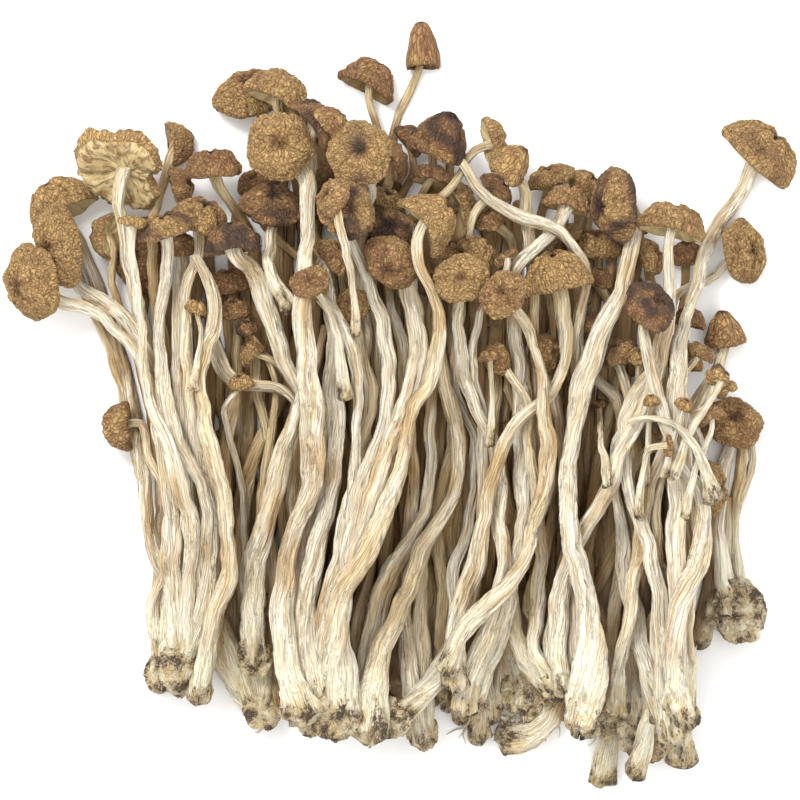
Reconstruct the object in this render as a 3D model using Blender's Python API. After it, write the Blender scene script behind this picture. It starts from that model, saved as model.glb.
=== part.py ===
"""A bunch of dried tea tree mushrooms, lying as one loose pile on a flat surface.

The frame has +X to the right and +Y towards the caps, as the pile is looked down on,
+Z up, and the origin on the surface under the middle of the pile. Each mushroom, or tuft of
mushrooms grown together at the foot, is one solid. The tables give every mushroom in the
order in which the pile was laid, bottom first; its height in the pile is worked out by
laying its stem, as a stiff rod, over whatever already lies under it.
"""
import math

import bmesh
import bpy
import numpy as np
from mathutils import Matrix, Vector

MM = 0.001
PART_NAME = "dried_tea_tree_mushrooms"

# The pile: the middle of its outline, the clear gap between pieces, how far the lowest ones press into the
# surface, how much lower than wide the dry pieces and their pile are, and how much flatter a cap is that
# lies on its side
PILE_MIDDLE = (-0.037, 0.669)
GAP = 0.5
PRESS = 0.8
FLATTENED = 0.78
PRESSED = 0.4
FLOOR_DEPTH = 6.0

# The map of heights in which the pieces are laid, in mm: its half-sizes, its cell and the stem samples over
# it
FIELD_X = 112.0
FIELD_Y = 108.0
CELL = 0.5
SAMPLE = 0.7
SAMPLES_ACROSS = 15
NOWHERE = -99.0

# How a stem settles: the turns it takes, how much it sags in each and how much it evens out
SETTLE_TURNS = 90
COARSE_SAG = 0.9
FINE_SAG = 0.2
STIFFNESS = 0.08
END_STIFFNESS = 0.0

# How a tuft spreads: its stems are one body up to the first length and clear from the second, in mm, and
# its foot is flatter than wide
FOOT_JOINED = 10.0
FOOT_CLEAR = 34.0
FOOT_FLATNESS = 0.55
FOOT_SWELLS = 1.2

# Facets: a hidden stem has four sides and a seen one six, a small cap eight and a big one twelve. A bend is
# left out where the stem runs this straight past it, in mm: before it settles, where that leaves no run
# longer than the last number, and after
HIDDEN_STEM_STEPS = 0
STEM_STEPS = 1
BIG_CAP = 6.0
BIG_CAP_SEGMENTS = 12
BIG_CAP_RINGS = 5
SMALL_CAP_SEGMENTS = 8
SMALL_CAP_RINGS = 4
STRAIGHT = 0.45
SETTLED_STRAIGHT = 0.2
LONGEST_RUN = 30.0
FOOT_SEGMENTS = 8
FOOT_RINGS = 5
WELD = 0.00001

# Every cap: where its rim lies from crown to underside, its wrinkles, the lip under its rim, where its seen
# middle lies up the crown, and the nearest that a bend comes to the neck, in mm
RIM = 0.64
RIDGES = 6
WRINKLE = 0.06
LIP = 0.10
CAP_MIDDLE = 0.4
NECK_CLEAR = 2.5

# Finishes
STEM_COLOUR = (0.72, 0.62, 0.42)
CAP_COLOUR = (0.36, 0.19, 0.07)
STEM_ROUGHNESS = 0.8
CAP_ROUGHNESS = 0.85

# How far, in mm, the bends of a piece may roll sideways as it settles: least for those that lie on top
FREEDOM = {"mushroom_front": 0.8, "tuft_big": 0.8, "tuft_centre": 1.0, "mushroom_mid": 1.6, "tuft_mid": 2.4,
           "tuft_outlying": 0.5, "tuft_low": 0.8, "tuft_left": 2.0, "mushroom_right": 2.5, "tuft_right": 3.0}
LOOSE = 4.0

# Cap forms, as shares of the cap's half-width: how high the crown stands over the rim, the dent in it, how
# far the underside hollows, how much two sides fold down, how much the rim turns up, and what is torn from
# the rim
FORMS = {
    "round": dict(crown=0.76, dent=0.10, hollow=0.16, fold=0.06, curl=0.0, torn=0.0),
    "button": dict(crown=0.95, dent=0.04, hollow=0.06, fold=0.05, curl=0.0, torn=0.0),
    "flat": dict(crown=0.56, dent=0.12, hollow=0.08, fold=0.04, curl=0.0, torn=0.0),
    "umbrella": dict(crown=0.92, dent=0.03, hollow=0.36, fold=0.12, curl=0.0, torn=0.0),
    "folded": dict(crown=0.84, dent=0.05, hollow=0.22, fold=0.34, curl=0.0, torn=0.08),
    "pointed": dict(crown=1.15, dent=-0.32, hollow=0.12, fold=0.12, curl=0.0, torn=0.10),
    "bell": dict(crown=2.70, dent=0.02, hollow=0.80, fold=0.10, curl=0.0, torn=0.0),
    "torn": dict(crown=0.42, dent=0.06, hollow=0.10, fold=0.10, curl=0.22, torn=0.45),
}

# One mushroom: cap form, cap middle x, y and half-width, the way the cap faces (turn in the picture plane
# from +X, then tilt up towards the viewer), the stem's half-widths under the cap and at the foot, and the
# points its stem passes from the cap to the foot. All in mm and degrees.
LOW_LEFT = [
    ("round", -66.5, 37, 9.2, 180, 50, 1.5, 2.0,
     [(-65, 22), (-61.5, 6), (-58, -14), (-56.5, -34), (-57, -52), (-59, -67)]),
    ("button", -74.5, 42.6, 5.6, 165, -40, 1.3, 1.8,
     [(-72, 32), (-67, 18), (-62, 0), (-59.5, -20), (-59.5, -40), (-60, -64)]),
    ("umbrella", -54.7, 65.4, 5.6, 8, -12, 1.5, 2.0,
     [(-57, 59.5), (-61, 51), (-62.5, 36), (-60, 16), (-56, -6), (-54.5, -28), (-56, -50), (-60, -67)]),
]
BEHIND_LEFT = [
    ("round", -54, 55.2, 4.5, 20, 30, 1.5, 2.0,
     [(-52, 44), (-48, 30), (-46, 12), (-44, -8), (-43, -28), (-42, -46), (-40.5, -63)]),
    ("round", -47.2, 60.8, 7.0, 96, 8, 1.6, 2.1,
     [(-45, 54), (-40, 47.5), (-36, 36), (-35.5, 20), (-37, 2), (-38.5, -18), (-38.5, -40), (-40, -61)]),
]
DARK_FOOT = [
    ("round", -38.2, 79.4, 8.6, 97, 40, 1.8, 2.4,
     [(-33, 71), (-30, 58), (-30.5, 38), (-33, 16), (-36, -8), (-38, -30), (-37.5, -54), (-35, -76)]),
    ("umbrella", -29.7, 79.2, 7.9, 60, -14, 1.7, 2.2,
     [(-27.5, 70), (-26.5, 54), (-28, 32), (-31, 8), (-34.5, -18), (-35, -46), (-32.5, -75)]),
    ("button", -44, -8, 3.4, 85, 35, 1.1, 1.8,
     [(-43.5, -16), (-43, -32), (-42, -50), (-37, -74)]),
    ("round", -43, 31.5, 5.5, 100, 30, 1.4, 2.4,
     [(-44.5, 22), (-44.5, 6), (-43, -14), (-42, -36), (-43, -54), (-40, -66), (-35, -77)]),
]
BACK_SINGLE_A = [
    ("round", -16.5, 54.5, 9.5, 165, 50, 2.0, 2.6,
     [(-14, 44), (-12.5, 28), (-13, 8), (-14.5, -10), (-15.5, -30), (-16, -46)]),
]
BACK_SINGLE_B = [
    ("umbrella", -6.9, 82.4, 7.2, 62, -14, 1.3, 2.1,
     [(-5.0, 76), (-4.6, 66), (-6, 48), (-5, 26), (-2, 2), (-5, -24), (-10, -40), (-12, -54)]),
]
BACK_SINGLE_C = [
    ("bell", 5.6, 89.5, 4.2, 92, -10, 0.9, 1.9,
     [(3.6, 83.5), (1.2, 77), (-1.8, 69), (-0.5, 52), (4, 28), (8, 4), (8.5, -24), (9, -50), (9.5, -74)]),
]
GAP_CAPS = [
    ("button", -41.8, 24.5, 3.7, 95, 40, 1.1, 1.7,
     [(-40, 17), (-37, 2), (-34.5, -18), (-33, -34), (-31.5, -49)]),
    ("button", -38.5, 19.7, 2.8, 95, 40, 1.0, 1.6,
     [(-37, 12), (-34, -2), (-31.5, -22), (-31, -48)]),
    ("folded", -38, 13.7, 3.5, 130, 20, 1.0, 1.7,
     [(-34.5, 9.5), (-30, 2), (-27.5, -14), (-28.5, -34), (-31, -50)]),
    ("round", -36.5, 56.5, 4.6, 115, 50, 1.4, 1.9,
     [(-32, 46), (-26.5, 34), (-26, 16), (-27.5, -6), (-28.5, -28), (-30, -48)]),
]
BACK_RIGHT_A = [
    ("button", 47, 55.5, 4.6, 35, 20, 1.2, 1.8,
     [(44.5, 48), (42, 32), (39, 14), (34, -8), (31.5, -30), (34, -50), (38, -69)]),
    ("flat", 37.5, 58.0, 5.6, 108, 24, 1.4, 1.9,
     [(36, 50), (34, 38), (32, 18), (30, -6), (29, -28), (33, -50), (38.5, -70)]),
]
BACK_RIGHT_B = [
    ("round", 58, 46, 5.0, 90, -20, 1.4, 2.2,
     [(57.5, 38), (55, 22), (52, 2), (49.5, -20), (50.5, -44), (50, -66), (49.5, -82), (51, -94.5)]),
]
BACK_RIGHT_C = [
    ("button", 72, 38.5, 4.4, 90, 30, 1.3, 1.9,
     [(71, 30), (69, 14), (64, -6), (57.5, -26), (55, -48), (53.5, -66), (53, -77)]),
    ("round", 63.5, 37.6, 4.7, 30, 35, 1.2, 1.8,
     [(62.5, 28), (60, 10), (56, -12), (53, -36), (52.5, -60), (52, -76)]),
]
OUTLYING = [
    ("button", 87.4, -4.0, 2.6, 100, 35, 0.8, 1.5,
     [(88.2, -11), (88.4, -16), (87, -21), (84.8, -26), (83.6, -33), (85, -42), (86.4, -51)]),
    ("round", 84.0, -3.6, 6.9, 80, 62, 1.7, 2.8,
     [(82.5, -14), (80.5, -24), (79.2, -33), (80.6, -42), (83.2, -51)]),
]
CUT_FOOT = [
    ("flat", 76.5, -2.5, 3.8, 95, -24, 1.2, 2.3,
     [(76.5, -9), (75, -18), (76, -30), (78.5, -40), (77.5, -50), (75.2, -58.5)]),
]
TOP_SINGLE_A = [
    ("round", -19.8, 71.0, 7.2, 38, -10, 1.7, 2.2,
     [(-21.3, 63), (-21, 48), (-20, 28), (-20.5, 6), (-18.5, -16), (-20.5, -36), (-21, -53)]),
    ("button", -16.2, 71.0, 4.5, 45, 20, 1.2, 1.8,
     [(-17, 64), (-17.5, 46), (-16, 24), (-16.5, 0), (-17, -24), (-20, -52)]),
]
TOP_SINGLE_B = [
    ("round", -1.2, 62.3, 5.7, 30, -25, 1.5, 2.1,
     [(-5, 57), (-7.5, 48), (-9.5, 34), (-9, 14), (-9, -8), (-12, -30), (-13.5, -54)]),
]
TOP_SINGLE_C = [
    ("button", 3.2, 67, 4.4, 38, -6, 1.2, 1.8,
     [(3, 60), (1.5, 48), (4.5, 28), (6, 6), (6.5, -18), (6.5, -44), (5.5, -66), (5.5, -83)]),
    ("round", 8, 58, 4.8, 80, -20, 1.3, 1.8,
     [(7.5, 51), (9, 36), (11, 14), (10.5, -12), (8, -38), (7, -62), (6, -83)]),
]
TOP_SINGLE_D = [
    ("flat", 24.7, 65.4, 6.5, 10, -16, 1.1, 1.9,
     [(20.5, 66.3), (17, 63.5), (13, 59.5), (6, 53.5), (1, 44), (1, 26), (3, 4), (1, -20), (-1, -46),
      (-5, -70)]),
]
TOP_SINGLE_E = [
    ("pointed", 28.2, 60.6, 5.4, 46, 30, 1.3, 1.9,
     [(31, 55.5), (35, 48), (37, 36), (34.5, 20), (31.5, 0), (31, -22), (29.5, -44), (33, -60), (38, -71)]),
]
TOP_SINGLE_F = [
    ("round", 15.2, 49.7, 8.3, 20, -38, 1.6, 2.0,
     [(16.5, 55), (20, 48), (24, 36), (26, 18), (25.5, -4), (26.5, -26), (25, -46), (20, -62), (17.5, -74)]),
    ("button", 22, 47, 3.7, 110, 50, 1.1, 1.7,
     [(25, 41), (27.5, 28), (28, 8), (28.5, -16), (28, -38), (23, -58), (19, -73)]),
    ("round", 25, 54.2, 4.8, 35, 10, 1.3, 1.8,
     [(22, 48), (20, 34), (18, 14), (17.5, -8), (18.5, -30), (20, -50), (18.5, -73)]),
    (None, 19, -66, 0, 0, 0, 2.0, 1.8,
     [(19.5, -74), (19.8, -83.5)]),
]
UNDER_RIGHT = [
    ("round", 49.5, 41, 6.0, 95, 30, 1.6, 2.1,
     [(49, 32), (47.5, 14), (46.5, -8), (47.5, -30), (47, -50), (46.5, -69)]),
    ("button", 50, 32, 3.8, 80, 10, 1.2, 1.8,
     [(50, 24), (51, 8), (50.5, -12), (48.5, -34), (47, -69)]),
    ("button", 57.5, 31, 3.2, 95, 20, 1.1, 1.7,
     [(56.5, 22), (55, 6), (53.5, -12), (51, -34), (48, -54), (46.5, -69)]),
]
UNDER_CLUMP = [
    (None, 22, 0, 0, 0, 0, 1.6, 2.6,
     [(21.5, -20), (22, -40), (26, -56), (30, -70)]),
    (None, 36, 0, 0, 0, 0, 1.6, 2.4,
     [(36.5, -20), (36, -40), (33, -56), (31, -70)]),
]
UNDER_MIDDLE = [
    (None, -3, 10, 0, 0, 0, 1.4, 2.2,
     [(-3.5, -10), (-3, -30), (-3.5, -50), (0, -69)]),
    (None, 4, 14, 0, 0, 0, 1.4, 2.2,
     [(4.5, -6), (5, -28), (4, -48), (1.5, -69)]),
    (None, 13, 2, 0, 0, 0, 1.4, 2.2,
     [(12.5, -16), (13, -36), (10.5, -54), (3, -69)]),
]
LYING_FOOT = [
    (None, 41, -50, 0, 0, 0, 2.2, 2.6,
     [(42, -62), (39, -73), (33, -79.5), (26.5, -83.8)]),
]
TOP_SINGLE_G = [
    ("round", 41, 42.5, 4.4, 130, -25, 1.3, 1.9,
     [(42, 36), (43.5, 20), (42.5, 0), (40, -22), (37, -44), (39, -60), (40, -70)]),
    ("round", 36.5, 40.3, 3.4, 140, -20, 1.1, 1.8,
     [(35, 33), (34.5, 16), (34.5, -6), (35.5, -28), (36, -50), (39.5, -69)]),
]
LEFT_TUFT = [
    ("torn", -68.4, 59.6, 12.0, 62, -54, 1.7, 2.2,
     [(-71, 48), (-69.5, 34), (-66, 18), (-61.5, -2), (-58.5, -24), (-57, -46), (-57.5, -66)]),
    ("umbrella", -86.4, 51.4, 9.0, 122, -14, 1.7, 2.1,
     [(-82, 45), (-78, 35), (-72.5, 24), (-68.5, 8), (-65, -6), (-61.5, -22), (-60, -34), (-57.5, -48),
      (-57.5, -65)]),
    ("button", -71.4, -5.6, 5.8, 185, -6, 1.0, 1.4,
     [(-65, -3.5), (-62, -10), (-60.5, -24), (-60, -40), (-61, -52), (-60, -63)]),
    ("flat", -87.2, 39.3, 9.9, 190, 38, 1.6, 2.2,
     [(-80, 31), (-72, 27), (-65.5, 19), (-61, 6), (-58, -12), (-56, -34), (-55.5, -52), (-56, -65)]),
    ("round", -93.9, 30.0, 9.6, 193, 40, 1.5, 2.2,
     [(-86, 27.4), (-78, 26), (-70, 20.5), (-62.5, 10), (-58, -6), (-55.5, -26), (-54.5, -46), (-55, -64)]),
    ("round", -50.6, 24.2, 3.3, 75, 25, 1.0, 1.5,
     [(-52.5, 14), (-54.5, 0), (-54.5, -18), (-53.5, -38), (-54, -62)]),
    ("button", -55, 40.5, 4.2, 95, 25, 1.7, 2.1,
     [(-56.5, 30), (-57.5, 14), (-56.5, -4), (-53.5, -24), (-52.5, -44), (-54, -65)]),
    ("round", -49.4, 48.0, 7.2, 70, 26, 1.8, 2.2,
     [(-52, 41), (-54.5, 28), (-55, 10), (-53, -6), (-49.5, -20), (-49.3, -36), (-50.5, -52), (-53.5, -66)]),
    ("flat", -59.2, 45.4, 6.6, 105, 20, 1.7, 2.1,
     [(-59.5, 36), (-59.5, 20), (-57, 4), (-53.2, -9), (-49.3, -22), (-49, -38), (-51, -54), (-54, -66)]),
    ("torn", -67, 46, 3.4, 85, 10, 1.1, 2.0,
     [(-66.3, 37), (-63.5, 24), (-62, 8), (-58.5, -4), (-53.5, -17), (-51.2, -30), (-51.2, -46),
      (-53.5, -65)]),
]
FRONT_LEFT = [
    (None, -51.0, 36.5, 0, 0, 0, 1.5, 2.4,
     [(-48.3, 31), (-46, 24), (-47.3, 18), (-50, 12), (-50.5, 0), (-46.5, -15), (-44.2, -30), (-44, -43),
      (-48, -57), (-50.5, -73)]),
]
BROKEN_STEM = [
    (None, -47, 15, 0, 0, 0, 1.8, 2.0,
     [(-40, 9.2), (-31, 1), (-25, -8), (-23.5, -24), (-24, -44), (-23.5, -62), (-23, -76)]),
]
RIGHT_TUFT = [
    ("round", 67.5, 15.5, 3.8, 100, -10, 1.2, 1.7,
     [(66, 8), (63.5, -8), (60, -26), (59, -46), (58.5, -66), (59.5, -80)]),
    ("button", 72, 11.8, 4.0, 80, 35, 1.2, 1.7,
     [(70.5, 4), (67, -10), (64, -30), (62, -52), (61, -79)]),
    ("round", 48, 18, 7.0, 75, -40, 1.5, 2.0,
     [(49, 12), (52, 0), (55.5, -16), (57, -34), (58, -56), (59, -81)]),
]
RIGHT_SINGLE_A = [
    ("button", 54, 14, 4.5, 100, 55, 1.4, 2.8,
     [(54, 5), (56, -8), (59, -22), (62.5, -38), (64.5, -56), (67, -74), (70.8, -89)]),
]
RIGHT_SINGLE_B = [
    ("button", 60, 12.5, 3.0, 90, 40, 1.1, 2.3,
     [(60.5, 5), (62.5, -8), (65.5, -24), (66, -42), (62.5, -60), (60.5, -76), (58.5, -92.5)]),
]
RIGHT_SINGLE_C = [
    ("flat", 79.4, -20.8, 6.8, 5, 20, 1.4, 2.0,
     [(74.5, -14.5), (69.5, -5.5), (62.5, -2.5), (58, -8), (57.5, -24), (60, -42), (63, -60), (66, -78)]),
    ("folded", 66.5, -9.3, 2.9, 20, -20, 1.1, 1.8,
     [(63, -8.3), (61.3, -16), (63, -30), (65, -48), (66.5, -76)]),
]
RIGHT_SINGLE_D = [
    ("pointed", 81.3, 18.8, 5.2, 97, 26, 1.3, 1.9,
     [(80, 10), (74, 4.5), (70, -6), (69.7, -22), (70, -38), (68.5, -54), (69.5, -68), (71.5, -78)]),
    ("umbrella", 72.7, 22, 4.0, 78, -12, 1.1, 1.8,
     [(70.8, 15), (67.5, 5), (65.5, -8), (66.5, -26), (67, -46), (68, -64), (71, -78)]),
    ("round", 75.5, 13.6, 3.6, 65, 4, 1.1, 1.7,
     [(73.3, 7), (71.5, -2), (71.5, -18), (71.5, -36), (70.5, -56), (71.5, -77)]),
]
RIGHT_SINGLE_E = [
    ("flat", 80.9, 5.8, 4.2, 10, -30, 1.2, 1.9,
     [(75.5, 1), (70.5, -5), (66.5, -16), (62.5, -34), (60, -52), (57, -70), (54.5, -76)]),
]
RIGHT_SINGLE_F = [
    ("flat", 87.8, 38.4, 8.2, 8, 38, 1.4, 2.1,
     [(78.3, 33), (72, 26.5), (64.5, 13), (59.8, -2), (58.7, -18), (62, -34), (65.3, -52), (66.5, -70),
      (67.5, -83)]),
]
RIGHT_SINGLE_G = [
    ("round", 92.3, 64.6, 9.9, 47, 16, 1.8, 2.3,
     [(86.2, 53), (84, 48), (79.5, 42), (71.5, 30), (67.5, 12), (68.5, -8), (68.5, -24), (66.5, -40),
      (67, -58), (69, -76)]),
]
MID_SINGLE_A = [
    ("umbrella", -41.9, 41.9, 6.8, 95, -6, 2.1, 2.5,
     [(-39.5, 35), (-36, 23.5), (-31.5, 12.5), (-25.5, 0), (-21, -13), (-22.3, -28), (-24.8, -44),
      (-25, -60), (-22.5, -77)]),
]
MID_SINGLE_B = [
    ("round", -9.9, 63.1, 7.8, 80, 74, 1.8, 2.3,
     [(-8, 52), (-8, 42), (-10.5, 30), (-10.5, 12), (-10.5, -8), (-14, -28), (-17, -48), (-18, -74)]),
]
MID_SINGLE_C = [
    ("flat", -3.2, 52.3, 4.5, 60, 36, 1.2, 1.9,
     [(-3.5, 44), (-2.5, 30), (-1.2, 14), (0.5, -2), (3.5, -18), (3.5, -36), (2, -52), (4, -68),
      (5.5, -84.5)]),
]
MID_SINGLE_D = [
    ("round", -2.6, 44.8, 5.1, 95, 66, 1.3, 2.0,
     [(-4.8, 32), (-4.5, 20), (-2.2, 6), (-2.5, -10), (-5.5, -24), (-8.5, -38), (-10.5, -56), (-10, -75)]),
]
MID_SINGLE_E = [
    ("pointed", 10.6, 67.4, 6.9, 66, 28, 1.4, 1.9,
     [(14.3, 62.5), (20, 55), (29, 48.5), (38, 43), (45, 35), (46, 20), (43.5, 2), (41, -16), (42, -36),
      (43.5, -58), (44.5, -78)]),
]
MID_SINGLE_F = [
    ("umbrella", 42.1, 51.7, 5.5, 76, -14, 2.0, 2.3,
     [(41, 47), (36, 40.5), (30.5, 34), (30, 22), (32, 6), (32.5, -12), (31.5, -32), (27.5, -52), (22.5, -66),
      (17, -75)]),
]
MID_SINGLE_G = [
    ("flat", 12, 38.9, 4.2, 92, 14, 1.4, 2.2,
     [(13, 30), (13.5, 18), (10, 7), (8.2, -6), (7.5, -18), (4.5, -29), (0.5, -40), (-5, -52), (-9.5, -64),
      (-9, -77)]),
]
MID_SINGLE_H = [
    ("umbrella", 20.2, 38.4, 5.2, 46, -2, 1.2, 1.9,
     [(17, 30), (12.5, 18), (11.3, 4), (16, -8), (19, -20), (17.5, -32), (13.8, -42), (12.5, -54), (7, -67),
      (-1, -78)]),
    ("torn", 26.5, 37, 3.0, 120, -20, 1.0, 1.6,
     [(24, 29), (21, 14), (22.5, -4), (23, -24), (18, -44), (11, -64), (1, -77)]),
]
MID_SINGLE_I = [
    ("button", 37.4, 12.8, 4.8, 12, 48, 1.3, 1.9,
     [(35.5, 5), (37.5, -6), (38.5, -16), (39.5, -30), (38.5, -46), (35.5, -60), (39.5, -71)]),
    ("button", 23.5, 11, 4.1, 200, 45, 1.2, 1.8,
     [(28.5, 9.5), (31, 3), (30, -12), (32.5, -30), (34, -48), (35, -60), (39, -70)]),
]
CENTRE_TUFT = [
    ("round", -12.1, 25.6, 4.7, 95, 60, 1.5, 2.0,
     [(-10.8, 18), (-8, 7), (-8, -3), (-11, -14), (-12.5, -30), (-15, -48), (-16.5, -64), (-15.5, -77)]),
    ("round", -16.4, 37.9, 5.1, 40, 18, 2.3, 2.5,
     [(-17.3, 28), (-17.3, 17), (-18.2, 5), (-17, -9), (-18.5, -25), (-21.5, -38), (-22.8, -54),
      (-20.5, -76)]),
    ("button", -22.8, 30.8, 4.9, 110, 64, 1.4, 2.3,
     [(-18.5, 25.5), (-14.2, 17.5), (-13.3, 4), (-12.2, -10), (-12.3, -24), (-15.5, -40), (-19.7, -54),
      (-19, -68), (-17, -78)]),
]
BIG_FRONT_STEM = [
    ("button", -40, 6, 3.0, 100, 35, 0.8, 1.0,
     [(-43.2, 1), (-42.5, -9), (-40.3, -20), (-40, -32), (-38, -40), (-37, -55)]),
    (None, -19.0, 19, 0, 0, 0, 1.2, 2.9,
     [(-21, 10), (-24.2, 4), (-26.5, -4), (-29.5, -16), (-33.5, -30), (-36.8, -45), (-36.3, -64)]),
]
SHORT_SINGLE = [
    ("round", -32, 51.2, 7.1, 85, 50, 1.9, 1.7,
     [(-30.6, 42), (-29.6, 34), (-27.9, 24)]),
]
FRONT_SINGLE_A = [
    ("round", -30.1, 65, 8.2, 90, 78, 2.2, 3.0,
     [(-23.3, 58), (-22.5, 44), (-24.3, 26), (-23.2, 8), (-21.5, -8), (-21.5, -22), (-26.5, -34),
      (-28.3, -50), (-27.5, -66), (-24.5, -77)]),
]
CENTRE_TUFT_FRONT = [
    ("round", -12.7, 48.8, 7.2, 30, 70, 1.4, 2.2,
     [(-10.7, 39), (-8, 29), (-6.3, 15), (-4, 1), (-6, -9), (-10.5, -20), (-13.2, -36), (-15.5, -52),
      (-13.5, -68), (-11.5, -78)]),
    ("round", -2.7, 34.2, 7.4, 240, 52, 1.9, 2.6,
     [(2.5, 26), (3.2, 15), (-0.5, 2), (-4, -12), (-8, -24), (-12, -38), (-16.5, -52), (-17.5, -66),
      (-15.5, -77.5)]),
    ("folded", 9.2, 47.4, 8.2, 35, -4, 1.5, 2.5,
     [(3.4, 40), (5.5, 30), (9, 19), (7, 8), (1.5, -3), (-0.3, -15), (-4.3, -27), (-10, -39), (-14.5, -50),
      (-16.5, -64), (-14.5, -76.5)]),
]
FRONT_SINGLE_E = [
    ("button", 8, 31, 3.8, 110, 45, 1.4, 2.9,
     [(9, 22), (11, 9), (14, -5), (14.3, -15), (11.5, -26), (5.3, -35), (1.3, -46), (-3.5, -57), (-6.4, -68),
      (-7.5, -82)]),
]
FRONT_SINGLE_F = [
    ("round", 15.3, 31.8, 6.2, 95, 74, 1.5, 2.2,
     [(15.3, 20), (17, 7), (21, -5), (24, -16), (25.3, -28), (26.3, -40), (23.5, -54), (18.5, -66),
      (16, -76)]),
]
FRONT_SINGLE_G = [
    ("umbrella", 38.9, 33.8, 8.3, 102, 16, 1.6, 2.2,
     [(40.3, 27), (42.2, 15), (38.5, 4), (30.5, -4), (25, -14), (23, -26), (20, -38), (16, -49), (13.2, -60),
      (13.5, -70)]),
]
FRONT_SINGLE_H = [
    ("round", 52.2, 49.6, 8.8, 187, 38, 1.9, 3.1,
     [(56, 41), (55.8, 29), (51.2, 18), (46, 5), (43.3, -8), (42.3, -22), (43.5, -36), (46, -50), (47, -64),
      (45.2, -80)]),
]
FRONT_SINGLE_I = [
    ("round", 68.4, 46.8, 8.3, 78, -12, 1.8, 2.1,
     [(67.5, 38), (67.3, 24), (63.5, 10), (59.8, -4), (55, -14), (51, -24), (46.5, -31), (42, -42),
      (40.5, -58), (41, -71)]),
]
FRONT_SINGLE_J = [
    ("round", 25.3, 27.9, 5.8, 130, 66, 1.6, 2.2,
     [(30, 22), (34.5, 11), (36, -3), (37, -15), (34, -28), (29, -42), (22.5, -51), (15, -59), (11.5, -66)]),
]
FRONT_SINGLE_K = [
    ("round", 63.6, 25.3, 6.7, 40, 50, 1.5, 2.5,
     [(63.3, 13), (65.5, 0), (68.5, -13), (75, -24), (74.5, -34), (72.5, -43), (68.7, -53), (67.5, -66),
      (71, -78)]),
]

# The pile, bottom first: name, whether its stems share one foot, that foot's middle and half-width, and its
# mushrooms
PILE = [
    ("tuft_under_middle", (1.5, -70.0, 4.4), UNDER_MIDDLE),
    ("tuft_under_clump", (31.0, -71.5, 6.0), UNDER_CLUMP),
    ("tuft_under_right", (46.8, -70.0, 3.6), UNDER_RIGHT),
    ("mushroom_lying_foot", None, LYING_FOOT),
    ("tuft_low_left", (-59.5, -67.0, 4.6), LOW_LEFT),
    ("tuft_behind_left", (-40.2, -62.5, 4.4), BEHIND_LEFT),
    ("tuft_dark_foot", (-34.2, -76.0, 5.0), DARK_FOOT),
    ("mushroom_back_a", None, BACK_SINGLE_A),
    ("mushroom_back_c", None, BACK_SINGLE_C),
    ("tuft_gap_caps", (-31.2, -50.0, 3.4), GAP_CAPS),
    ("tuft_back_right", (38.3, -70.0, 3.9), BACK_RIGHT_A),
    ("tuft_top_g", (39.8, -69.8, 3.6), TOP_SINGLE_G),
    ("tuft_top_f", (18.2, -73.5, 3.8), TOP_SINGLE_F),
    ("tuft_top_c", (5.7, -82.5, 3.8), TOP_SINGLE_C),
    ("mushroom_back_right", None, BACK_RIGHT_B),
    ("tuft_back_pair", (52.6, -76.5, 3.8), BACK_RIGHT_C),
    ("mushroom_cut_foot", None, CUT_FOOT),
    ("tuft_outlying", (84.4, -51.6, 7.1), OUTLYING),
    ("tuft_top_b", (-12.8, -55.0, 3.5), BACK_SINGLE_B + TOP_SINGLE_B),
    ("tuft_top_a", (-20.5, -53.0, 3.5), TOP_SINGLE_A),
    ("mushroom_top_d", None, TOP_SINGLE_D),
    ("mushroom_top_e", None, TOP_SINGLE_E),
    ("tuft_left", (-55.6, -65.5, 6.6), LEFT_TUFT),
    ("tuft_right", (59.5, -80.2, 4.6), RIGHT_TUFT),
    ("mushroom_right_a", None, RIGHT_SINGLE_A),
    ("mushroom_right_b", None, RIGHT_SINGLE_B),
    ("tuft_right_c", (66.3, -77.0, 3.4), RIGHT_SINGLE_C),
    ("tuft_right_d", (71.3, -77.8, 3.6), RIGHT_SINGLE_D),
    ("mushroom_right_e", None, RIGHT_SINGLE_E),
    ("mushroom_broken_stem", None, BROKEN_STEM),
    ("mushroom_mid_a", None, MID_SINGLE_A),
    ("mushroom_mid_c", None, MID_SINGLE_C),
    ("tuft_mid_b", (-13.8, -75.0, 5.0), MID_SINGLE_D + MID_SINGLE_B),
    ("mushroom_mid_f", None, MID_SINGLE_F),
    ("tuft_mid_i", (39.2, -70.5, 3.6), MID_SINGLE_I),
    ("mushroom_mid_g", None, MID_SINGLE_G),
    ("tuft_mid_h", (-1.6, -78.5, 4.4), MID_SINGLE_H),
    ("mushroom_mid_e", None, MID_SINGLE_E),
    ("mushroom_right_f", None, RIGHT_SINGLE_F),
    ("mushroom_right_g", None, RIGHT_SINGLE_G),
    ("mushroom_front_left", None, FRONT_LEFT),
    ("mushroom_front_e", None, FRONT_SINGLE_E),
    ("tuft_big_stem", (-36.4, -63.5, 4.4), BIG_FRONT_STEM),
    ("tuft_centre", (-16.5, -77.3, 6.0), CENTRE_TUFT + CENTRE_TUFT_FRONT),
    ("mushroom_short", None, SHORT_SINGLE),
    ("mushroom_front_a", None, FRONT_SINGLE_A),
    ("mushroom_front_f", None, FRONT_SINGLE_F),
    ("mushroom_front_g", None, FRONT_SINGLE_G),
    ("mushroom_front_i", None, FRONT_SINGLE_I),
    ("mushroom_front_h", None, FRONT_SINGLE_H),
    ("mushroom_front_k", None, FRONT_SINGLE_K),
    ("mushroom_front_j", None, FRONT_SINGLE_J),
]

# The pieces that lie lowest, whose stems are hidden
HIDDEN = 22


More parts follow.
